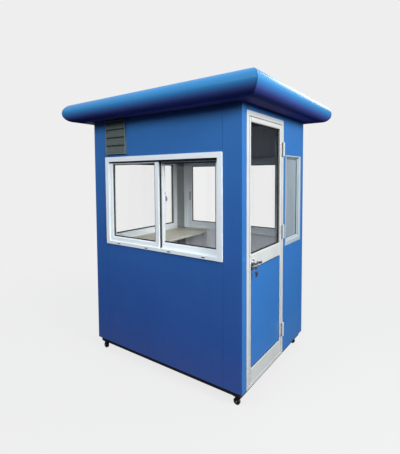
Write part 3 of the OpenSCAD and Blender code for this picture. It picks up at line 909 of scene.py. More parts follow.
class BOOTH_OT_roof(bpy.types.Operator):
    """Builds the roof slab, its ribbed top, the ceiling and the four round edges"""
    bl_idname = "booth.roof"
    bl_label = "Roof"

    def execute(self, context):
        shell = context.scene.booth_shell
        low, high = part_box("roof_panel")
        edge = low.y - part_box("fascia_front")[0].y
        tall = high.z - low.z
        # Painted shade: the fascia turns a darker navy, rougher and less shiny where it faces
        # the ground.
        paint = coated("Fascia blue", paints().fascia, 0.30, 0.04, 0.04, 1.6, 1.0, 0.02, 0.20,
                       streaks=0.04, scuffs=0.04, under=paints().fascia_painted_shade, shine=0.4)
        for side in ("front", "back", "left", "right"):
            low_f, high_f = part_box("fascia_" + side)
            reach = (high_f.x - low_f.x) if side in ("front", "back") else \
                (high_f.y - low_f.y)
            corner = {"front": (low_f.x, low_f.y, low_f.z), "back": (low_f.x, high_f.y, low_f.z),
                      "left": (low_f.x, high_f.y, low_f.z),
                      "right": (high_f.x, low_f.y, low_f.z)}[side]
            seat = standing(side, corner) @ LAID
            parts = [bar([(0, 0), (edge, 0), (edge, tall), (0, tall)], reach - 2 * MITRE_GAP,
                         MITRED, place=seat @ Matrix.Translation((MITRE_GAP, 0, 0)),
                         nose=tall * NEARLY_HALF)]
            piece("roof_edge_" + side, parts, "shell", [paint],
                  ("fascia_" + side,))

        # The soffit's lighter streaks are a painted reflection of the bright ground on its
        # sheet.
        soffit = coated("Soffit navy", paints().soffit, 0.70, 0.06, 0.10, 2.5, 0.8, 0.03, 0.20,
                        streaks=0.35, scuffs=0.12, shine=0.06)
        rib = shell.roof_rib
        slab = [block((low.x, low.y, low.z), (high.x, high.y, high.z - rib - 0.004), 0.001)]
        piece("roof_slab", slab, "shell", [soffit], ("roof_panel",))
        sheet = []
        pitch, half = 0.19, 0.022
        outline = [(low.x, high.z - rib - 0.0035), (low.x, high.z - rib)]
        count = int((high.x - low.x - 0.08) / pitch)
        first = (low.x + high.x) / 2 - count * pitch / 2
        for n in range(count + 1):
            x = first + n * pitch
            outline += [(x - half, high.z - rib), (x - half * 0.55, high.z),
                        (x + half * 0.55, high.z), (x + half, high.z - rib)]
        outline += [(high.x, high.z - rib), (high.x, high.z - rib - 0.0035)]
        sheet.append(grown(pushed([(x, low.y, z) for x, z in outline],
                                  (0, high.y - low.y, 0))))
        for n in range(count + 1):
            for y in (low.y + 0.05, (low.y + high.y) / 2, high.y - 0.05):
                sheet.append(screw((first + n * pitch + pitch * 0.28, y, high.z - rib),
                                   (0, 0, 1), 0.008, 0.005, 1))
        top = coated("Roof sheet", (0.10, 0.24, 0.46), 0.45, 0.08, 0.12, 2.0, 0.8, 0.1, 0.2,
                     streaks=0.15, scuffs=0.3)
        piece("roof_top_sheet", sheet, "shell", [top, bright_steel()])

        room_low, room_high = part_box("floor_deck")
        drop = Matrix(((1, 0, 0, 0), (0, 0, 1, 0), (0, 1, 0, low.z - 0.0032), (0, 0, 0, 1)))
        # The ceiling sheet is painted dark, as painted shade.
        ceiling = [ribbed(room_low.x, room_high.x, room_low.y, room_high.y, drop)]
        piece("ceiling_lining", ceiling, "shell", [ceiling_painted_shade()])
        # Painted light: the left overhang's underside gets its own nearly white sheet, a lighter
        # soffit there made brighter to stand in for light from below.
        wall_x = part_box("left_wall_upper")[0].x
        strip = [block((low.x + 0.001, low.y + 0.06, low.z - 0.0012),
                       (wall_x - 0.001, high.y - 0.02, low.z + 0.001), 0.0004)]
        piece("soffit_left_strip", strip, "shell",
              [coated("Primer grey", (0.90, 0.92, 0.92), 0.45, 0.08, 0.12, 12.0, 0.2, 0.1,
                      0.1, scuffs=0.3)])
        return {"FINISHED"}


# ---------- sliding windows ----------

def seal_outline(at, thick, reach=0.0048):
    """A rubber seal that grips the pane's edge from both sides."""
    def outline(face):
        return [(0.0, at - reach), (face * 0.35, at - reach - 0.0008), (face, at - 0.0002),
                (face, at + thick + 0.0002), (face * 0.35, at + thick + reach + 0.0008),
                (0.0, at + thick + reach)]
    return outline


def beaded(depth, lip, fall):
    """A member whose edge towards the glass slopes back on both faces."""
    def outline(face):
        cut = min(lip, face * 0.4)
        return [(0.0, 0.0), (face - cut, 0.0), (face, fall), (face, depth - fall),
                (face - cut, depth), (0.0, depth)]
    return outline


CATCH_HEIGHT = 0.412


class BOOTH_OT_sliding_windows(bpy.types.Operator):
    """Builds the front and back windows, each with two sashes and a crescent catch"""
    bl_idname = "booth.sliding_windows"
    bl_label = "Sliding windows"

    def execute(self, context):
        j = context.scene.booth_joinery
        fit = 0.0003
        slot_w = j.sash + 2 * fit
        second = j.track_in + slot_w + j.track_wall
        for side in ("front", "back"):
            low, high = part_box(side + "_window_frame")
            wide, tall, deep = high.x - low.x, high.z - low.z, high.y - low.y
            corner = (low.x, low.y if side == "front" else high.y, low.z)
            seat = standing(side, corner)

            def framed(face):
                line = [(0.0, 0.0), (face, 0.0)]
                for start in (j.track_in, second):
                    line += [(face, start), (face - j.track, start),
                             (face - j.track, start + slot_w), (face, start + slot_w)]
                return line + [(face, deep), (0.0, deep)]

            parts = ring(wide, tall, (j.jamb, j.jamb, j.jamb, j.sill), framed, seat, *ARRIS)
            # The black blocks at the sill's front stand for drain slots; their black is painted
            # shade for the slots' insides.
            drain_end, drain_middle = 0.16, 0.12
            for x in (drain_end, wide / 2 - drain_middle, wide / 2 + drain_middle,
                      wide - drain_end):
                parts.append(moved(block((x - 0.016, -0.0010, 0.008),
                                         (x + 0.016, 0.0030, 0.015), 0.0008, paint=1), seat))
            piece(side + "_window_casing", parts, "shell",
                  [white_coat(), rubber()], (side + "_window_frame",))

            foot = j.sill - j.track
            rise = tall - j.jamb - j.sill + 2 * j.track - 0.002
            half = wide / 2 - j.jamb + j.track
            pane = (j.sash - j.glass) / 2
            leaves = ((j.jamb - j.track, j.track_in + fit, half + j.lap_out,
                       (j.stile, j.meeting, j.sash_head, j.sash_foot)),
                      (wide / 2 - j.lap_in, second + fit, half + j.lap_in,
                       (j.meeting, j.stile, j.sash_head, j.sash_foot)))
            head_z, lap_x = tall - j.jamb, wide / 2 + j.lap_out
            sashes = []
            # The black pile strips under the sash heads and between the sashes are real, but
            # made wider to add painted shade there.
            seals = [moved(brush, seat) for brush in (
                block((j.jamb - 0.002, j.track_in - 0.0026, head_z - 0.013),
                      (wide - j.jamb + 0.002, j.track_in + 0.0004, head_z + 0.001), 0.0004, 1),
                block((wide / 2 + j.jamb, second - 0.0030, head_z - 0.014),
                      (wide - j.jamb + 0.002, second + 0.0002, head_z + 0.001), 0.0004, 1),
                block((lap_x - 0.006, j.track_in + j.sash - 0.012, foot + 0.004),
                      (lap_x + 0.0012, second + 0.0002, foot + rise - 0.004), 0.0008, 1))]
            for x, y, width, faces in leaves:
                home = seat @ Matrix.Translation((x, y, foot))
                near, far, head, sill = faces
                sashes += ring(width, rise, faces, beaded(j.sash, 0.010, 0.0045), home,
                               0.0008, 2)
                held = ring(width - near - far, rise - head - sill, (j.seal,) * 4,
                            seal_outline(pane, j.glass), home, *SEAL_EDGE, at=(near, sill))
                if x > wide / 4:
                    grown(held[2], paint=1)
                seals += held
                grip = width - far / 2 if x > wide / 4 else near / 2
                for half_w, low_z, high_z, rise_y, paint in (
                        (0.009, 0.40, 0.56, 0.0012, 0), (0.006, 0.41, 0.55, 0.0016, 1)):
                    sashes.append(moved(block(
                        (grip - half_w, j.sash - 0.003, rise * low_z),
                        (grip + half_w, j.sash + rise_y, rise * high_z), 0.001, 2, paint),
                        home))
            piece(side + "_window_leaves", sashes, "shell",
                  [white_coat(), rubber()], (side + "_window_sashes",))
            piece(side + "_window_seals", seals, "shell",
                  [rubber(), white_coat()])
            repaint(side + "_window_glass", clear_glass())

        catches = []
        low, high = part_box("front_window_frame")
        y = low.y + second + fit + j.sash
        z = low.z + CATCH_HEIGHT
        x = -j.lap_in + j.meeting / 2
        for turn in (1, -1):
            place = Matrix.Diagonal((1, turn, 1, 1)) @ Matrix.Translation((x, y, z))
            group = [block((-0.009, 0.0, -0.035), (0.009, 0.004, 0.035), 0.0016, 3),
                     block((-0.007, 0.003, -0.016), (0.008, 0.009, 0.016), 0.002, 3),
                     rod((0.008, 0.002, 0.0), (0.008, 0.0105, 0.0), 0.007, 0.001),
                     screw((0, 0.004, 0.027), (0, 1, 0), 0.0035, 0.0016, 1),
                     screw((0, 0.004, -0.027), (0, 1, 0), 0.0035, 0.0016, 1)]
            hook = bmesh.new()
            blade = [hook.verts.new((0.012 + a, b, 0.0)) for a, b in
                     ((0.010, 0.004), (0.023, 0.004), (0.023, 0.010), (0.010, 0.010))]
            lip = hook.faces.new(blade)
            bmesh.ops.rotate(hook, verts=hook.verts, cent=(0.012, 0, 0),
                             matrix=Matrix.Rotation(math.radians(60), 3, "Y"))
            bmesh.ops.spin(hook, geom=[lip], cent=(0.012, 0, 0), axis=(0, 1, 0),
                           dvec=(0, 0, 0), angle=math.radians(-170), steps=20,
                           use_merge=False, use_duplicate=False)
            group.append(grown(hook))
            group.append(tube([(0.010, 0.007, 0.004), (0.004, 0.009, 0.022),
                               (0.010, 0.0095, 0.040), (0.014, 0.0095, 0.050)], 0.0042))
            catches += [moved(part, place) for part in group]
        chrome = coated("Latch chrome", (0.80, 0.81, 0.83), 0.18, 0.05, 0.06, 40.0, 0.0, 0.03,
                        0.08, metallic=1.0)
        piece("window_catches", catches, "shell", [chrome, bright_steel()],
              ("window_latches",))
        return {"FINISHED"}


# ---------- fixed windows ----------

class BOOTH_OT_fixed_windows(bpy.types.Operator):
    """Builds the wide window opposite the door and the narrow one beside it"""
    bl_idname = "booth.fixed_windows"
    bl_label = "Fixed windows"

    def execute(self, context):
        j = context.scene.booth_joinery
        for side, faces in (("left", (j.fixed_face,) * 4), ("right", tuple(j.side_faces))):
            node = {"left": "left_window", "right": "side_window"}[side]
            low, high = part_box(node + "_frame")
            wide, tall, deep = high.y - low.y, high.z - low.z, high.x - low.x
            corner = (low.x, high.y, low.z) if side == "left" else (high.x, low.y, low.z)
            seat = standing(side, corner)
            near, far, head, foot = faces
            parts = ring(wide, tall, faces, beaded(deep, 0.012, 0.008), seat, *ARRIS)
            pane = (deep - j.glass) / 2
            beads = ring(wide - near - far, tall - head - foot, (0.009,) * 4,
                         lambda face: [(0, pane - 0.013), (face, pane - 0.009),
                                       (face, pane - 0.0045), (0, pane - 0.0045)],
                         seat, 0.0005, 1, at=(near, foot))
            seals = ring(wide - near - far, tall - head - foot, (j.seal + 0.002,) * 4,
                         seal_outline(pane, j.glass, 0.004), seat, *SEAL_EDGE,
                         at=(near, foot))
            # Painted shade: the side window's frame is the same white powder coat as the other
            # windows, painted darker and bluer as shade.
            coat = white_coat() if side == "left" else \
                coated("Side window white", (0.34, 0.41, 0.45), 0.40, 0.05, 0.05, 6.0, 0.0,
                       0.12, 0.10, dust=0.12, dust_level=0.25, scuffs=0.12)
            piece(node + "_casing", parts + beads, "shell", [coat],
                  (node + "_frame",))
            piece(node + "_seals", seals, "shell", [rubber()])
            glass = clear_glass() if side == "left" else \
                pane_glass("Dull glass", (0.34, 0.41, 0.46), 0.80, 0.10, 0.25)
            repaint(node + "_glass", glass)
        return {"FINISHED"}


# ---------- door ----------

class BOOTH_OT_door(bpy.types.Operator):
    """Builds the door frame with its seals, and the leaf with its lower panel"""
    bl_idname = "booth.door"
    bl_label = "Door"

    def execute(self, context):
        j = context.scene.booth_joinery
        low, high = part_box("door_frame")
        leaf_low, leaf_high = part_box("door_leaf")
        wide, tall, deep = high.y - low.y, high.z - low.z, high.x - low.x
        seat = standing("right", (high.x, low.y, low.z))
        face, stop = j.door_face, 0.016
        stop_at = high.x - leaf_low.x + 0.005
        jamb = [(0, 0), (face, 0), (face, stop_at), (face + stop, stop_at),
                (face + stop, deep), (0, deep)]
        parts = [
            bar(jamb, wide, MITRED, *ARRIS, seat @ flipped(2, tall)),
            bar(jamb, tall, (0, 1), *ARRIS, seat @ UPRIGHT),
            bar(jamb, tall, (0, 1), *ARRIS, seat @ flipped(0, wide) @ UPRIGHT)]
        sill = j.threshold
        groove, pitch = sill - 0.003, 0.006
        step = [(0, 0), (groove, 0)]
        for n in range(6):
            at = 0.004 + n * pitch
            step += [(groove, at), (sill, at + 0.0008), (sill, at + 0.0032),
                     (groove, at + 0.004)]
        step += [(groove, stop_at), (sill + stop, stop_at), (sill + stop, deep), (0, deep)]
        parts.append(bar(step, wide - 2 * face + 0.002, SQUARE, 0.0, 1,
                         seat @ Matrix.Translation((face - 0.001, 0, 0))))
        piece("door_casing", parts, "shell", [door_coat()],
              ("door_frame", "door_stop"))
        bulb = [(0, stop_at - 0.0040), (0.007, stop_at - 0.0040), (0.007, stop_at + 0.0005),
                (0, stop_at + 0.0005)]
        strip = [bar(bulb, wide - 2 * face - 0.010, MITRED, 0.0016, 3,
                     seat @ Matrix.Translation((face + 0.005, 0, 0))
                     @ flipped(2, tall - face - 0.005))]
        for flip in (Matrix(), flipped(0, wide)):
            strip.append(bar(bulb, tall - face - sill - 0.010, (0, 1), 0.0016, 3, seat @ flip
                             @ Matrix.Translation((face + 0.005, 0, sill + 0.005)) @ UPRIGHT))
        piece("door_stop_seal", strip, "shell", [rubber()])

        panel_low, panel_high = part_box("door_panel")
        glass_low, glass_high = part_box("door_glass")
        leaf = standing("right", (leaf_high.x, leaf_low.y, leaf_low.z))
        lw, lh, ld = (leaf_high.y - leaf_low.y, leaf_high.z - leaf_low.z,
                      leaf_high.x - leaf_low.x)
        bite = 0.008
        stile, top = j.leaf_stile, j.leaf_head
        foot = panel_low.z + bite - leaf_low.z
        rail_low = panel_high.z - bite - leaf_low.z
        rail_high = glass_low.z + bite - leaf_low.z
        member = beaded(ld, 0.006, 0.004)
        parts = [bar(member(stile), lh, SQUARE, *ARRIS, leaf @ UPRIGHT),
                 bar(member(stile), lh, SQUARE, *ARRIS, leaf @ flipped(0, lw) @ UPRIGHT)]
        clear = lw - 2 * stile - 0.0006
        inset = leaf @ Matrix.Translation((stile + 0.0003, 0, 0))
        parts.append(bar(member(foot), clear, SQUARE, *ARRIS, inset))
        parts.append(bar(member(top), clear, SQUARE, *ARRIS, inset @ flipped(2, lh)))
        height = rail_high - rail_low
        both = [(0, 0.004), (0.006, 0), (height - 0.006, 0), (height, 0.004),
                (height, ld - 0.004), (height - 0.006, ld), (0.006, ld), (0, ld - 0.004)]
        parts.append(bar(both, clear, SQUARE, *ARRIS,
                         inset @ Matrix.Translation((0, 0, rail_low))))
        piece("door_leaf_rails", parts, "door", [door_coat()], ("door_leaf",))

        seals = ring(lw - 2 * stile, lh - rail_high - top, (j.seal,) * 4,
                     seal_outline(0.016, j.glass, 0.005), leaf, *SEAL_EDGE,
                     at=(stile, rail_high))
        panel_in = (ld - (panel_high.x - panel_low.x)) / 2
        rim = ring(lw - 2 * stile, rail_low - foot, (0.004,) * 4,
                   lambda f: [(0, panel_in - 0.0025), (f, panel_in + 0.0002),
                              (f, ld - panel_in - 0.0002), (0, ld - panel_in + 0.0025)],
                   leaf, *SEAL_EDGE, at=(stile, foot))
        piece("door_leaf_seals", seals + rim, "door", [rubber()])
        piece("door_infill", [block(panel_low, panel_high, 0.0012)], "door",
              [wall_paint()], ("door_panel",))
        repaint("door_glass", pane_glass("Door glass", (0.94, 0.98, 0.98), 0.032, 0.0))
        return {"FINISHED"}


HINGE_RISES = (0.0, 0.819, 1.488)


class BOOTH_OT_hinges(bpy.types.Operator):
    """Builds the three butt hinges, each with a fixed and a moving half"""
    bl_idname = "booth.hinges"
    bl_label = "Hinges"

    def execute(self, context):
        joint = next(j for j in frame["joints"] if j["name"] == "door_swing")
        axis_x, axis_y = joint["pos_m"][:2]
        low_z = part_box("door_hinges")[0].z
        leaf_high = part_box("door_leaf")[1]
        face_x = leaf_high.x
        tall, radius, gap = 0.110, 0.010, 0.0004
        third = tall / 3
        fixed, moving = [], []
        for z in [low_z + rise for rise in HINGE_RISES]:
            for k in (0.0, 2 * third):
                fixed.append(rod((axis_x, axis_y, z + k + 0.0002),
                                 (axis_x, axis_y, z + k + third - 0.0002), radius, 0.0012))
                fixed.append(block((face_x, axis_y, z + k + 0.0004),
                                   (axis_x, axis_y + radius, z + k + third - 0.0004), 0.0009))
            fixed.append(block((face_x, axis_y, z), (face_x + 0.002, axis_y + 0.024, z + tall),
                               0.0009))
            for tip, out in ((z, -1), (z + tall, 1)):
                fixed.append(turned([(0, 0.004), (0.003, 0.0036), (0.0058, 0.0018),
                                     (0.0068, 0.0), (0.0068, -0.0006), (0, -0.0006)],
                                    (axis_x, axis_y, tip), (0, 0, out), 20))
            moving.append(rod((axis_x, axis_y, z + third + gap),
                              (axis_x, axis_y, z + 2 * third - gap), radius, 0.0012))
            moving.append(block((face_x + 0.0015, leaf_high.y + 0.0045,
                                 z + third + 0.0006), (axis_x - 0.004, axis_y,
                                                       z + 2 * third - 0.0006), 0.0009))
            moving.append(block((face_x, leaf_high.y - 0.020, z),
                                (face_x + 0.003, leaf_high.y - 0.001, z + tall), 0.0010))
            for n in range(3):
                at = z + 0.014 + n * (tall - 0.028) / 2
                fixed.append(screw((face_x + 0.002, axis_y + 0.0175, at), (1, 0, 0), 0.0032,
                                   0.0013, 1))
                moving.append(screw((face_x + 0.003, leaf_high.y - 0.0105, at), (1, 0, 0),
                                    0.0034, 0.0013, 1))
        coat = coated("Hinge white", paints().door, 0.34, 0.05, 0.05, 20.0, 0.0, 0.15, 0.12,
                      wear=0.3)
        piece("hinge_fixed_halves", fixed, "shell", [coat, bright_steel()],
              ("door_hinges",))
        piece("hinge_moving_halves", moving, "door", [coat, bright_steel()],
              ("door_knuckles",))
        return {"FINISHED"}


class BOOTH_OT_handle(bpy.types.Operator):
    """Builds the lever handles, their round plates, the lock and a bunch of keys"""
    bl_idname = "booth.handle"
    bl_label = "Handle and keys"

    def execute(self, context):
        joint = next(j for j in frame["joints"] if j["name"] == "lever_turn")
        y, z = joint["pos_m"][1:]
        leaf_low, leaf_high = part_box("door_leaf")
        chrome = coated("Lever chrome", (0.82, 0.83, 0.85), 0.34, 0.05, 0.06, 30.0, 0.0, 0.03,
                        0.08, metallic=1.0)
        dark = coated("Lock dark", (0.03, 0.03, 0.032), 0.4, 0.1, 0.2, 50.0, 0.0, 0.2, 0.2)
        roses, levers = [], []
        for face, out in ((leaf_high.x, 1), (leaf_low.x, -1)):
            roses.append(turned([(0.0068, 0.0), (0.022, 0.0), (0.022, 0.0055),
                                 (0.0205, 0.0080), (0.0170, 0.0092), (0.0120, 0.0100),
                                 (0.0068, 0.0100), (0.0068, 0.0)],
                                (face, y, z), (out, 0, 0), 40))
            levers.append(turned([(0, 0.0105), (0.0064, 0.0105), (0.0085, 0.0125),
                                  (0.0072, 0.018), (0.0075, 0.028), (0.0098, 0.034),
                                  (0.0104, 0.038), (0.0096, 0.0405), (0, 0.0410)],
                                 (face, y, z), (out, 0, 0), 28))
            x = face + out * 0.034
            arm = tube([(x, y, z), (x + out * 0.0015, y + 0.020, z - 0.0008),
                        (x, y + 0.045, z - 0.0040), (x - out * 0.0005, y + 0.070, z - 0.0070),
                        (x - out * 0.004, y + 0.082, z - 0.0080),
                        (x - out * 0.010, y + 0.0850, z - 0.0080)], 0.0064, sides=6)
            bmesh.ops.scale(arm, vec=(1.0, 1.0, 1.6), verts=arm.verts,
                            space=Matrix.Translation((0, 0, -z)))
            levers.append(arm)
        levers.append(rod((leaf_low.x - 0.011, y, z), (leaf_high.x + 0.011, y, z), 0.0058))
        piece("handle_roses", roses, "door", [chrome], ("door_roses",))
        piece("handle_levers", levers, "lever", [chrome], ("door_lever",))

        lock_y, lock_z = y - 0.004, z - 0.037
        lock = []
        for face, out in ((leaf_high.x, 1), (leaf_low.x, -1)):
            lock.append(turned([(0, 0.0050), (0.0080, 0.0050), (0.0085, 0.0066),
                                (0.0165, 0.0064), (0.0180, 0.0040), (0.0180, 0.0),
                                (0, 0.0)], (face, lock_y, lock_z), (out, 0, 0), 36, 1))
            lock.append(turned([(0, 0.0095), (0.0072, 0.0095), (0.0078, 0.0088),
                                (0.0078, 0.0040), (0, 0.0040)],
                               (face, lock_y, lock_z), (out, 0, 0), 24))
        piece("lock_cylinder", lock, "door", [chrome, dark])

        x = leaf_high.x + 0.0085
        brass = coated("Key brass", (0.16, 0.12, 0.06), 0.4, 0.08, 0.1, 60.0, 0.0, 0.1, 0.1,
                       metallic=1.0, grain=90.0)
        keys = [block((x, lock_y - 0.0012, lock_z - 0.0045),
                      (x + 0.012, lock_y + 0.0012, lock_z + 0.0045), 0.0006),
                rod((x + 0.020, lock_y - 0.0012, lock_z), (x + 0.020, lock_y + 0.0012, lock_z),
                    0.0115, 0.0006)]
        ring_x, ring_z, loop = x + 0.026, lock_z - 0.011, 0.012
        turns = [n * math.tau / 8 for n in range(8)]
        keys.append(tube([(ring_x + loop * math.sin(turn),
                           lock_y + 0.003 * math.cos(turn) * (n % 2),
                           ring_z + loop * math.cos(turn)) for n, turn in enumerate(turns)],
                         0.0009, 0, True, 3))
        for sway, drop, shade in ((-0.004, 0.0, 0), (0.004, 0.004, 1)):
            top = ring_z - 0.014 - drop
            keys.append(rod((ring_x - 0.001, lock_y + sway - 0.0011, top - 0.009),
                            (ring_x - 0.001, lock_y + sway + 0.0011, top - 0.009), 0.0105,
                            0.0006, paint=shade))
            keys.append(block((ring_x - 0.005, lock_y + sway - 0.0010, top - 0.036),
                              (ring_x + 0.003, lock_y + sway + 0.0010, top - 0.016), 0.0004,
                              paint=shade))
        nickel = coated("Key nickel", (0.16, 0.15, 0.13), 0.42, 0.08, 0.1, 60.0, 0.0, 0.1, 0.1,
                        metallic=0.8, grain=90.0)
        piece("key_bunch", keys, "door", [nickel, brass])
        return {"FINISHED"}


# ---------- vent ----------

class BOOTH_OT_vent(bpy.types.Operator):
    """Builds the vent box and its louvre slats"""
    bl_idname = "booth.vent"
    bl_label = "Vent"

    def execute(self, context):
        low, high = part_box("vent_frame")
        wall = 0.006
        wide, tall, deep = high.x - low.x, high.z - low.z, high.y - low.y
        seat = standing("front", low)
        parts = ring(wide, tall, (wall,) * 4, lambda f: [(0, 0), (f, 0), (f, deep), (0, deep)],
                     seat, 0.0012, 3)
        box = coated("Vent plastic", paints().vent, 0.48, 0.06, 0.06, 12.0, 0.0, 0.15, 0.15,
                     streaks=0.2)
        piece("vent_box", parts, "shell", [box], ("vent_frame",))
        count = 4
        pitch = (tall - 2 * wall) / count
        slats = []
        for n in range(count):
            base = wall + n * pitch
            line = [(0.0008, 0.0006), (0.0080, 0.0006), (0.0120, 0.0016),
                    (pitch - 0.006, 0.0135), (pitch - 0.003, 0.0135),
                    (pitch - 0.003, 0.0170), (pitch - 0.007, 0.0170), (0.0118, 0.0048),
                    (0.0080, 0.0036), (0.0036, 0.0036), (0.0036, 0.0070), (0.0008, 0.0070)]
            slats.append(bar(line, wide - 2 * wall - 0.001, SQUARE, 0.0005, 1,
                             seat @ Matrix.Translation((wall + 0.0005, 0, base))))
        plastic = coated("Slat plastic", paints().slats, 0.5, 0.08, 0.10, 14.0, 0.0, 0.15, 0.2,
                        streaks=0.3, scuffs=0.2)
        piece("vent_louvres", slats, "shell", [plastic], ("vent_slats",))
        return {"FINISHED"}


# ---------- desk ----------

class BOOTH_OT_desk(bpy.types.Operator):
    """Builds the desk top with its edge band, and the steel angles under it"""
    bl_idname = "booth.desk"
    bl_label = "Desk"

    def execute(self, context):
        low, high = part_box("desk_top")
        band = 0.002
        board = [block(low, (high.x - band, high.y, high.z), 0.0006, 1),
                 block((high.x - band, low.y, low.z), (high.x, high.y, high.z), 0.0007, 2,
                       paint=1)]
        edge = coated("Edge band", (0.46, 0.455, 0.42), 0.4, 0.06, 0.06, 20.0, 0.0, 0.1, 0.1,
                      scuffs=0.3)
        piece("desk_board", board, "shell",
              [laminate("Desk laminate", paints().desk), edge], ("desk_top",))
        low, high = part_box("desk_bearers")
        side = high.z - low.z
        thick = 0.003
        angle = [(0, 0), (side, 0), (side, side), (side - thick, side), (side - thick, thick),
                 (0, thick)]
        reach = high.x - low.x
        parts = [
            bar(angle, reach, SQUARE, 0.0004, 1, Matrix.Translation(low)),
            bar(angle, reach, SQUARE, 0.0004, 1,
                Matrix.Translation((low.x, high.y, low.z)) @ Matrix.Scale(-1, 4, (0, 1, 0))),
            bar(angle, high.y - low.y - 2 * side - 0.02, SQUARE, 0.0004, 1,
                Matrix.Translation((low.x, high.y - side - 0.01, low.z))
                @ Matrix.Rotation(-math.pi / 2, 4, "Z"))]
        for y, out in ((low.y + thick, 1), (high.y - thick, -1)):
            for n in range(3):
                parts.append(screw((low.x + 0.05 + n * (reach - 0.1) / 2, y, low.z + 0.012),
                                   (0, out, 0), 0.006, 0.003, 1))
        steel = coated("Angle grey", (0.42, 0.44, 0.45), 0.42, 0.06, 0.1, 9.0, 0.0, 0.1, 0.15,
                       wear=0.4)
        piece("desk_angles", parts, "shell", [steel, bright_steel()],
              ("desk_bearers",))
        return {"FINISHED"}


# ---------- casters ----------

# A caster's top plate: its two faces, half its width and its bolts' distance from the middle
PLATE_LOW, PLATE_HIGH, PLATE_HALF, BOLT_AT = 0.0710, 0.0750, 0.030, 0.022
CHEEK = 0.003


def mirrored(profile):
    """Closes half of a wheel's outline, from bore to rim, with its mirror image."""
    other = [(radius, -height) for radius, height in profile]
    return other + profile[::-1] + other[:1]


class BOOTH_OT_casters(bpy.types.Operator):
    """Builds the four swivel casters: plates, forks and wheels"""
    bl_idname = "booth.casters"
    bl_label = "Casters"

    def execute(self, context):
        steel = coated("Caster black", (0.010, 0.010, 0.010), 0.42, 0.08, 0.2, 30.0, 0.0, 0.2,
                       0.2, wear=0.2, dust=0.06, dust_level=0.1, bare=(0.12, 0.12, 0.12))
        tread = coated("Caster rubber", (0.009, 0.009, 0.009), 0.62, 0.1, 0.2, 40.0, 0.0, 0.4,
                       0.4, dust=0.12, dust_level=0.10)
        hub = coated("Wheel hub", (0.025, 0.025, 0.026), 0.45, 0.08, 0.15, 30.0, 0.0, 0.2,
                     0.2, dust=0.12, dust_level=0.1)
        plates = []
        joints = {j["name"]: j for j in frame["joints"]}
        for name in ("fl", "fr", "bl", "br"):
            x, y = joints["swivel_" + name]["pos_m"][:2]
            plates.append(block((x - PLATE_HALF, y - PLATE_HALF, PLATE_LOW),
                                (x + PLATE_HALF, y + PLATE_HALF, PLATE_HIGH), 0.0012))
            for dx in (-BOLT_AT, BOLT_AT):
                for dy in (-BOLT_AT, BOLT_AT):
                    plates.append(rod((x + dx, y + dy, 0.0712), (x + dx, y + dy, 0.0675),
                                      0.0042, 0.0006, 6))
            plates.append(turned([(0, 0.0725), (0.0058, 0.0725), (0.0058, 0.0655),
                                  (0.0090, 0.0655), (0.0090, 0.0628), (0, 0.0615)],
                                 (x, y, 0), (0, 0, 1), 24))
            plates.append(rod((x, y, 0.0708), (x, y, 0.0714), 0.0185))
            wheel_lo, wheel_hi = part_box("caster_wheel_" + name)
            axle_x, axle_z = (wheel_lo.x + wheel_hi.x) / 2, (wheel_lo.z + wheel_hi.z) / 2
            radius = (wheel_hi.z - wheel_lo.z) / 2
            half = (wheel_hi.y - wheel_lo.y) / 2
            fork = [turned([(0.0062, 0.0705), (0.0235, 0.0705), (0.0262, 0.0690),
                            (0.0270, 0.0665), (0.0255, 0.0650), (0.0062, 0.0650),
                            (0.0062, 0.0705)], (x, y, 0), (0, 0, 1), 36)]
            inner = half + 0.002
            cheek = [(-0.0235, axle_z - 0.008), (-0.0050, axle_z - 0.008), (0.0190, 0.0662),
                     (-0.0215, 0.0662)]
            for out in (-1, 1):
                part = pushed([(x + a, y + out * inner, b) for a, b in cheek],
                              (0, out * CHEEK, 0))
                upright = [e for e in part.edges
                           if abs(e.verts[0].co.y - e.verts[1].co.y) > 0.002
                           and min(v.co.z for v in e.verts) < axle_z]
                rounded(part, upright, 0.006, 5)
                fork.append(grown(part, 0.0005, 1))
                outer = y + out * (inner + CHEEK)
                for rise, wide, soft, sides in ((0.0035, 0.0065, 0.0007, 6),
                                                (0.0008, 0.0080, 0.0, 24)):
                    fork.append(rod((axle_x, outer, axle_z),
                                    (axle_x, outer + out * rise, axle_z), wide, soft, sides,
                                    paint=1))
            fork.append(rod((axle_x, y - inner - 0.002, axle_z),
                            (axle_x, y + inner + 0.002, axle_z), 0.0038, paint=1))
            piece("caster_yoke_" + name, fork, "fork_" + name,
                  [steel, bright_steel()], ("caster_fork_" + name,))
            tyre = [(radius * 0.72, half * 0.92), (radius * 0.93, half * 0.90),
                    (radius * 0.985, half * 0.72), (radius, half * 0.35)]
            disc = [(0.0042, half), (0.0090, half), (0.0098, half * 0.75),
                    (radius * 0.62, half * 0.55), (radius * 0.73, half * 0.85)]
            centre = (axle_x, y, axle_z)
            wheel = [turned(mirrored(tyre), centre, (0, 1, 0), 56),
                     turned(mirrored(disc), centre, (0, 1, 0), 48, 1)]
            piece("caster_tyre_" + name, wheel, "wheel_" + name, [tread, hub],
                  ("caster_wheel_" + name,))
        piece("caster_top_plates", plates, "shell", [steel],
              ("caster_plates",))
        return {"FINISHED"}


# ---------- stage ----------

# Each soft light's place, where it points, its diameter and its tint
SOFTBOXES = (
    ("side", (4.6, -1.2, 3.3), (0.7, 0.0, 0.6), 2.2, (1.0, 0.99, 0.97)),
    ("front", (-0.4, -3.6, 3.6), (0.0, -0.6, 1.9), 1.6, (1.0, 1.0, 1.0)),
    ("top", (0.8, -0.6, 6.0), (0.0, 0.0, 1.5), 4.0, (1.0, 1.0, 1.0)),
    ("rear", (0.3, 6.5, 4.6), (0.9, 0.0, 2.2), 2.4, (1.0, 1.0, 1.0)))
THROUGH_GLASS = 1.11
FLOOR_RADIUS = 40.0


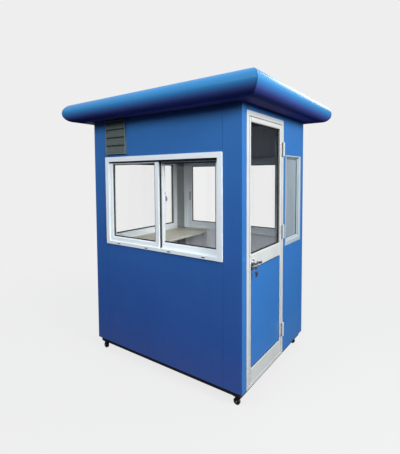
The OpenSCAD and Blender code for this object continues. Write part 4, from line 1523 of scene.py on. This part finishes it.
def seen_directly(tree):
    """Picks the rays from the camera and those through glass, which see the stage
    brighter."""
    ray = add_node(tree, "ShaderNodeLightPath").outputs
    through = ray["Is Transmission Ray"]
    return (maths(tree, "MAXIMUM", ray["Is Camera Ray"], through),
            remap(tree, through, 0.0, 1.0, 1.0, THROUGH_GLASS))


def area_light(name, place, aim, size, power, tint):
    lamp = bpy.data.lights.new(name, "AREA")
    lamp.shape = "DISK"
    lamp.size = size
    lamp.energy = power
    lamp.color = tint
    holder = bpy.data.objects.new(name, lamp)
    holder.location = place
    holder.rotation_euler = (Vector(aim) - Vector(place)).to_track_quat("-Z", "Y").to_euler()
    bpy.context.scene.collection.objects.link(holder)
    return holder


class BOOTH_OT_stage(bpy.types.Operator):
    """Lays the floor and sets the soft lights and the camera"""
    bl_idname = "booth.stage"
    bl_label = "Stage"

    def execute(self, context):
        scene = context.scene
        settings = scene.booth_stage
        scene.view_settings.view_transform = "Standard"
        pale = settings.backdrop

        world = bpy.data.worlds.new("Studio")
        scene.world = world
        world.use_nodes = True
        tree = world.node_tree
        tree.nodes.clear()
        up = split(tree, add_node(tree, "ShaderNodeTexCoord").outputs["Generated"])["Z"]
        soft = add_node(tree, "ShaderNodeValToRGB", {0: remap(tree, up, -1, 1, 0, 1)})
        ramp = soft.color_ramp
        ramp.elements[0].position, ramp.elements[0].color = 0.48, (0.03, 0.03, 0.035, 1)
        ramp.elements[1].position, ramp.elements[1].color = 1.0, (0.72, 0.80, 0.86, 1)
        for place, tint in ((0.58, (0.10, 0.11, 0.13, 1)), (0.72, (0.52, 0.56, 0.60, 1))):
            ramp.elements.new(place).color = tint
        sky = add_node(tree, "ShaderNodeBackground", {"Color": soft.outputs["Color"],
                                                      "Strength": 1.0})
        direct, strength = seen_directly(tree)
        seen = add_node(tree, "ShaderNodeBackground", {"Color": (pale, pale, pale, 1.0),
                                                       "Strength": strength})
        pick = add_node(tree, "ShaderNodeMixShader", {0: direct, 1: sky.outputs[0],
                                                      2: seen.outputs[0]})
        add_node(tree, "ShaderNodeOutputWorld", {"Surface": pick.outputs[0]})

        part = bmesh.new()
        bmesh.ops.create_circle(part, cap_ends=True, segments=96, radius=FLOOR_RADIUS)
        mesh = bpy.data.meshes.new("studio_floor")
        part.to_mesh(mesh)
        part.free()
        floor = bpy.data.objects.new("studio_floor", mesh)
        scene.collection.objects.link(floor)
        material = bpy.data.materials.new("Studio floor")
        material.use_nodes = True
        tree = material.node_tree
        tree.nodes.clear()
        flat = add_node(tree, "ShaderNodeVectorMath", {
            0: object_place(tree)}, operation="LENGTH")
        near = remap(tree, flat.outputs["Value"], 1.6, 4.0, 1.0, 0.0)
        shade, share = 0.05, 0.070
        glow = blend_colour(tree, near, (pale, pale, pale, 1.0),
                            (pale - share, pale - share, pale - share, 1.0))
        matte = blend_colour(tree, near, (0.0, 0.0, 0.0, 1.0), (shade, shade, shade, 1.0))
        direct, strength = seen_directly(tree)
        emit = add_node(tree, "ShaderNodeEmission", {"Color": glow, "Strength": strength})
        lit = add_node(tree, "ShaderNodeBsdfDiffuse", {"Color": matte})
        shown = add_node(tree, "ShaderNodeAddShader", {0: emit.outputs[0], 1: lit.outputs[0]})
        dull = add_node(tree, "ShaderNodeBsdfDiffuse", {"Color": (0.03, 0.035, 0.05, 1.0)})
        pick = add_node(tree, "ShaderNodeMixShader", {0: direct, 1: dull.outputs[0],
                                                      2: shown.outputs[0]})
        add_node(tree, "ShaderNodeOutputMaterial", {"Surface": pick.outputs[0]})
        mesh.materials.append(material)

        for name, place, aim, size, tint in SOFTBOXES:
            lamp = area_light(name + "_softbox", place, aim, size,
                              getattr(settings, name + "_power"), tint)
            lamp.visible_glossy = name in ("side", "rear")
            lamp.visible_camera = False
            lamp.visible_transmission = name != "rear"

        turn, tilt, roll = settings.turn, settings.tilt, settings.roll
        back = Vector((math.sin(turn) * math.cos(tilt), -math.cos(turn) * math.cos(tilt),
                       math.sin(tilt)))
        right = (-back).cross(Vector((0, 0, 1))).normalized()
        up = right.cross(-back)
        across = math.cos(roll) * right + math.sin(roll) * up
        above = -math.sin(roll) * right + math.cos(roll) * up
        lens = bpy.data.cameras.new("viewpoint")
        lens.lens = settings.lens
        lens.sensor_width = 36.0
        lens.shift_x, lens.shift_y = settings.shift
        lens.clip_end = 200.0
        camera = bpy.data.objects.new("viewpoint", lens)
        basis = Matrix((across, above, back)).transposed().to_4x4()
        camera.matrix_world = Matrix.Translation(settings.place) @ basis
        scene.collection.objects.link(camera)
        scene.camera = camera
        return {"FINISHED"}


STEPS = (BOOTH_OT_stage, BOOTH_OT_base, BOOTH_OT_walls, BOOTH_OT_roof,
         BOOTH_OT_sliding_windows, BOOTH_OT_fixed_windows, BOOTH_OT_door, BOOTH_OT_hinges,
         BOOTH_OT_handle, BOOTH_OT_vent, BOOTH_OT_desk, BOOTH_OT_casters)
SETTINGS = {"booth_shell": BoothShellSizes, "booth_joinery": BoothJoinerySizes,
            "booth_colours": BoothColours, "booth_stage": BoothStageSizes}


class BOOTH_PT_panel(bpy.types.Panel):
    """Lists the booth's building steps"""
    bl_idname = "BOOTH_PT_panel"
    bl_label = "Guard booth"
    bl_space_type = "VIEW_3D"
    bl_region_type = "UI"
    bl_category = "Booth"

    def draw(self, context):
        for step in STEPS:
            self.layout.operator(step.bl_idname)
        for name, group in SETTINGS.items():
            box = self.layout.box()
            for key in group.__annotations__:
                box.prop(getattr(context.scene, name), key)


def register():
    for group in SETTINGS.values():
        bpy.utils.register_class(group)
    for name, group in SETTINGS.items():
        setattr(bpy.types.Scene, name, PointerProperty(type=group))
    for step in STEPS:
        bpy.utils.register_class(step)
    bpy.utils.register_class(BOOTH_PT_panel)


def unregister():
    bpy.utils.unregister_class(BOOTH_PT_panel)
    for step in reversed(STEPS):
        bpy.utils.unregister_class(step)
    for name in SETTINGS:
        delattr(bpy.types.Scene, name)
    for group in SETTINGS.values():
        bpy.utils.unregister_class(group)


def main():
    register()
    for step in STEPS:
        area, name = step.bl_idname.split(".")
        getattr(getattr(bpy.ops, area), name)()


if __name__ == "__main__":
    main()
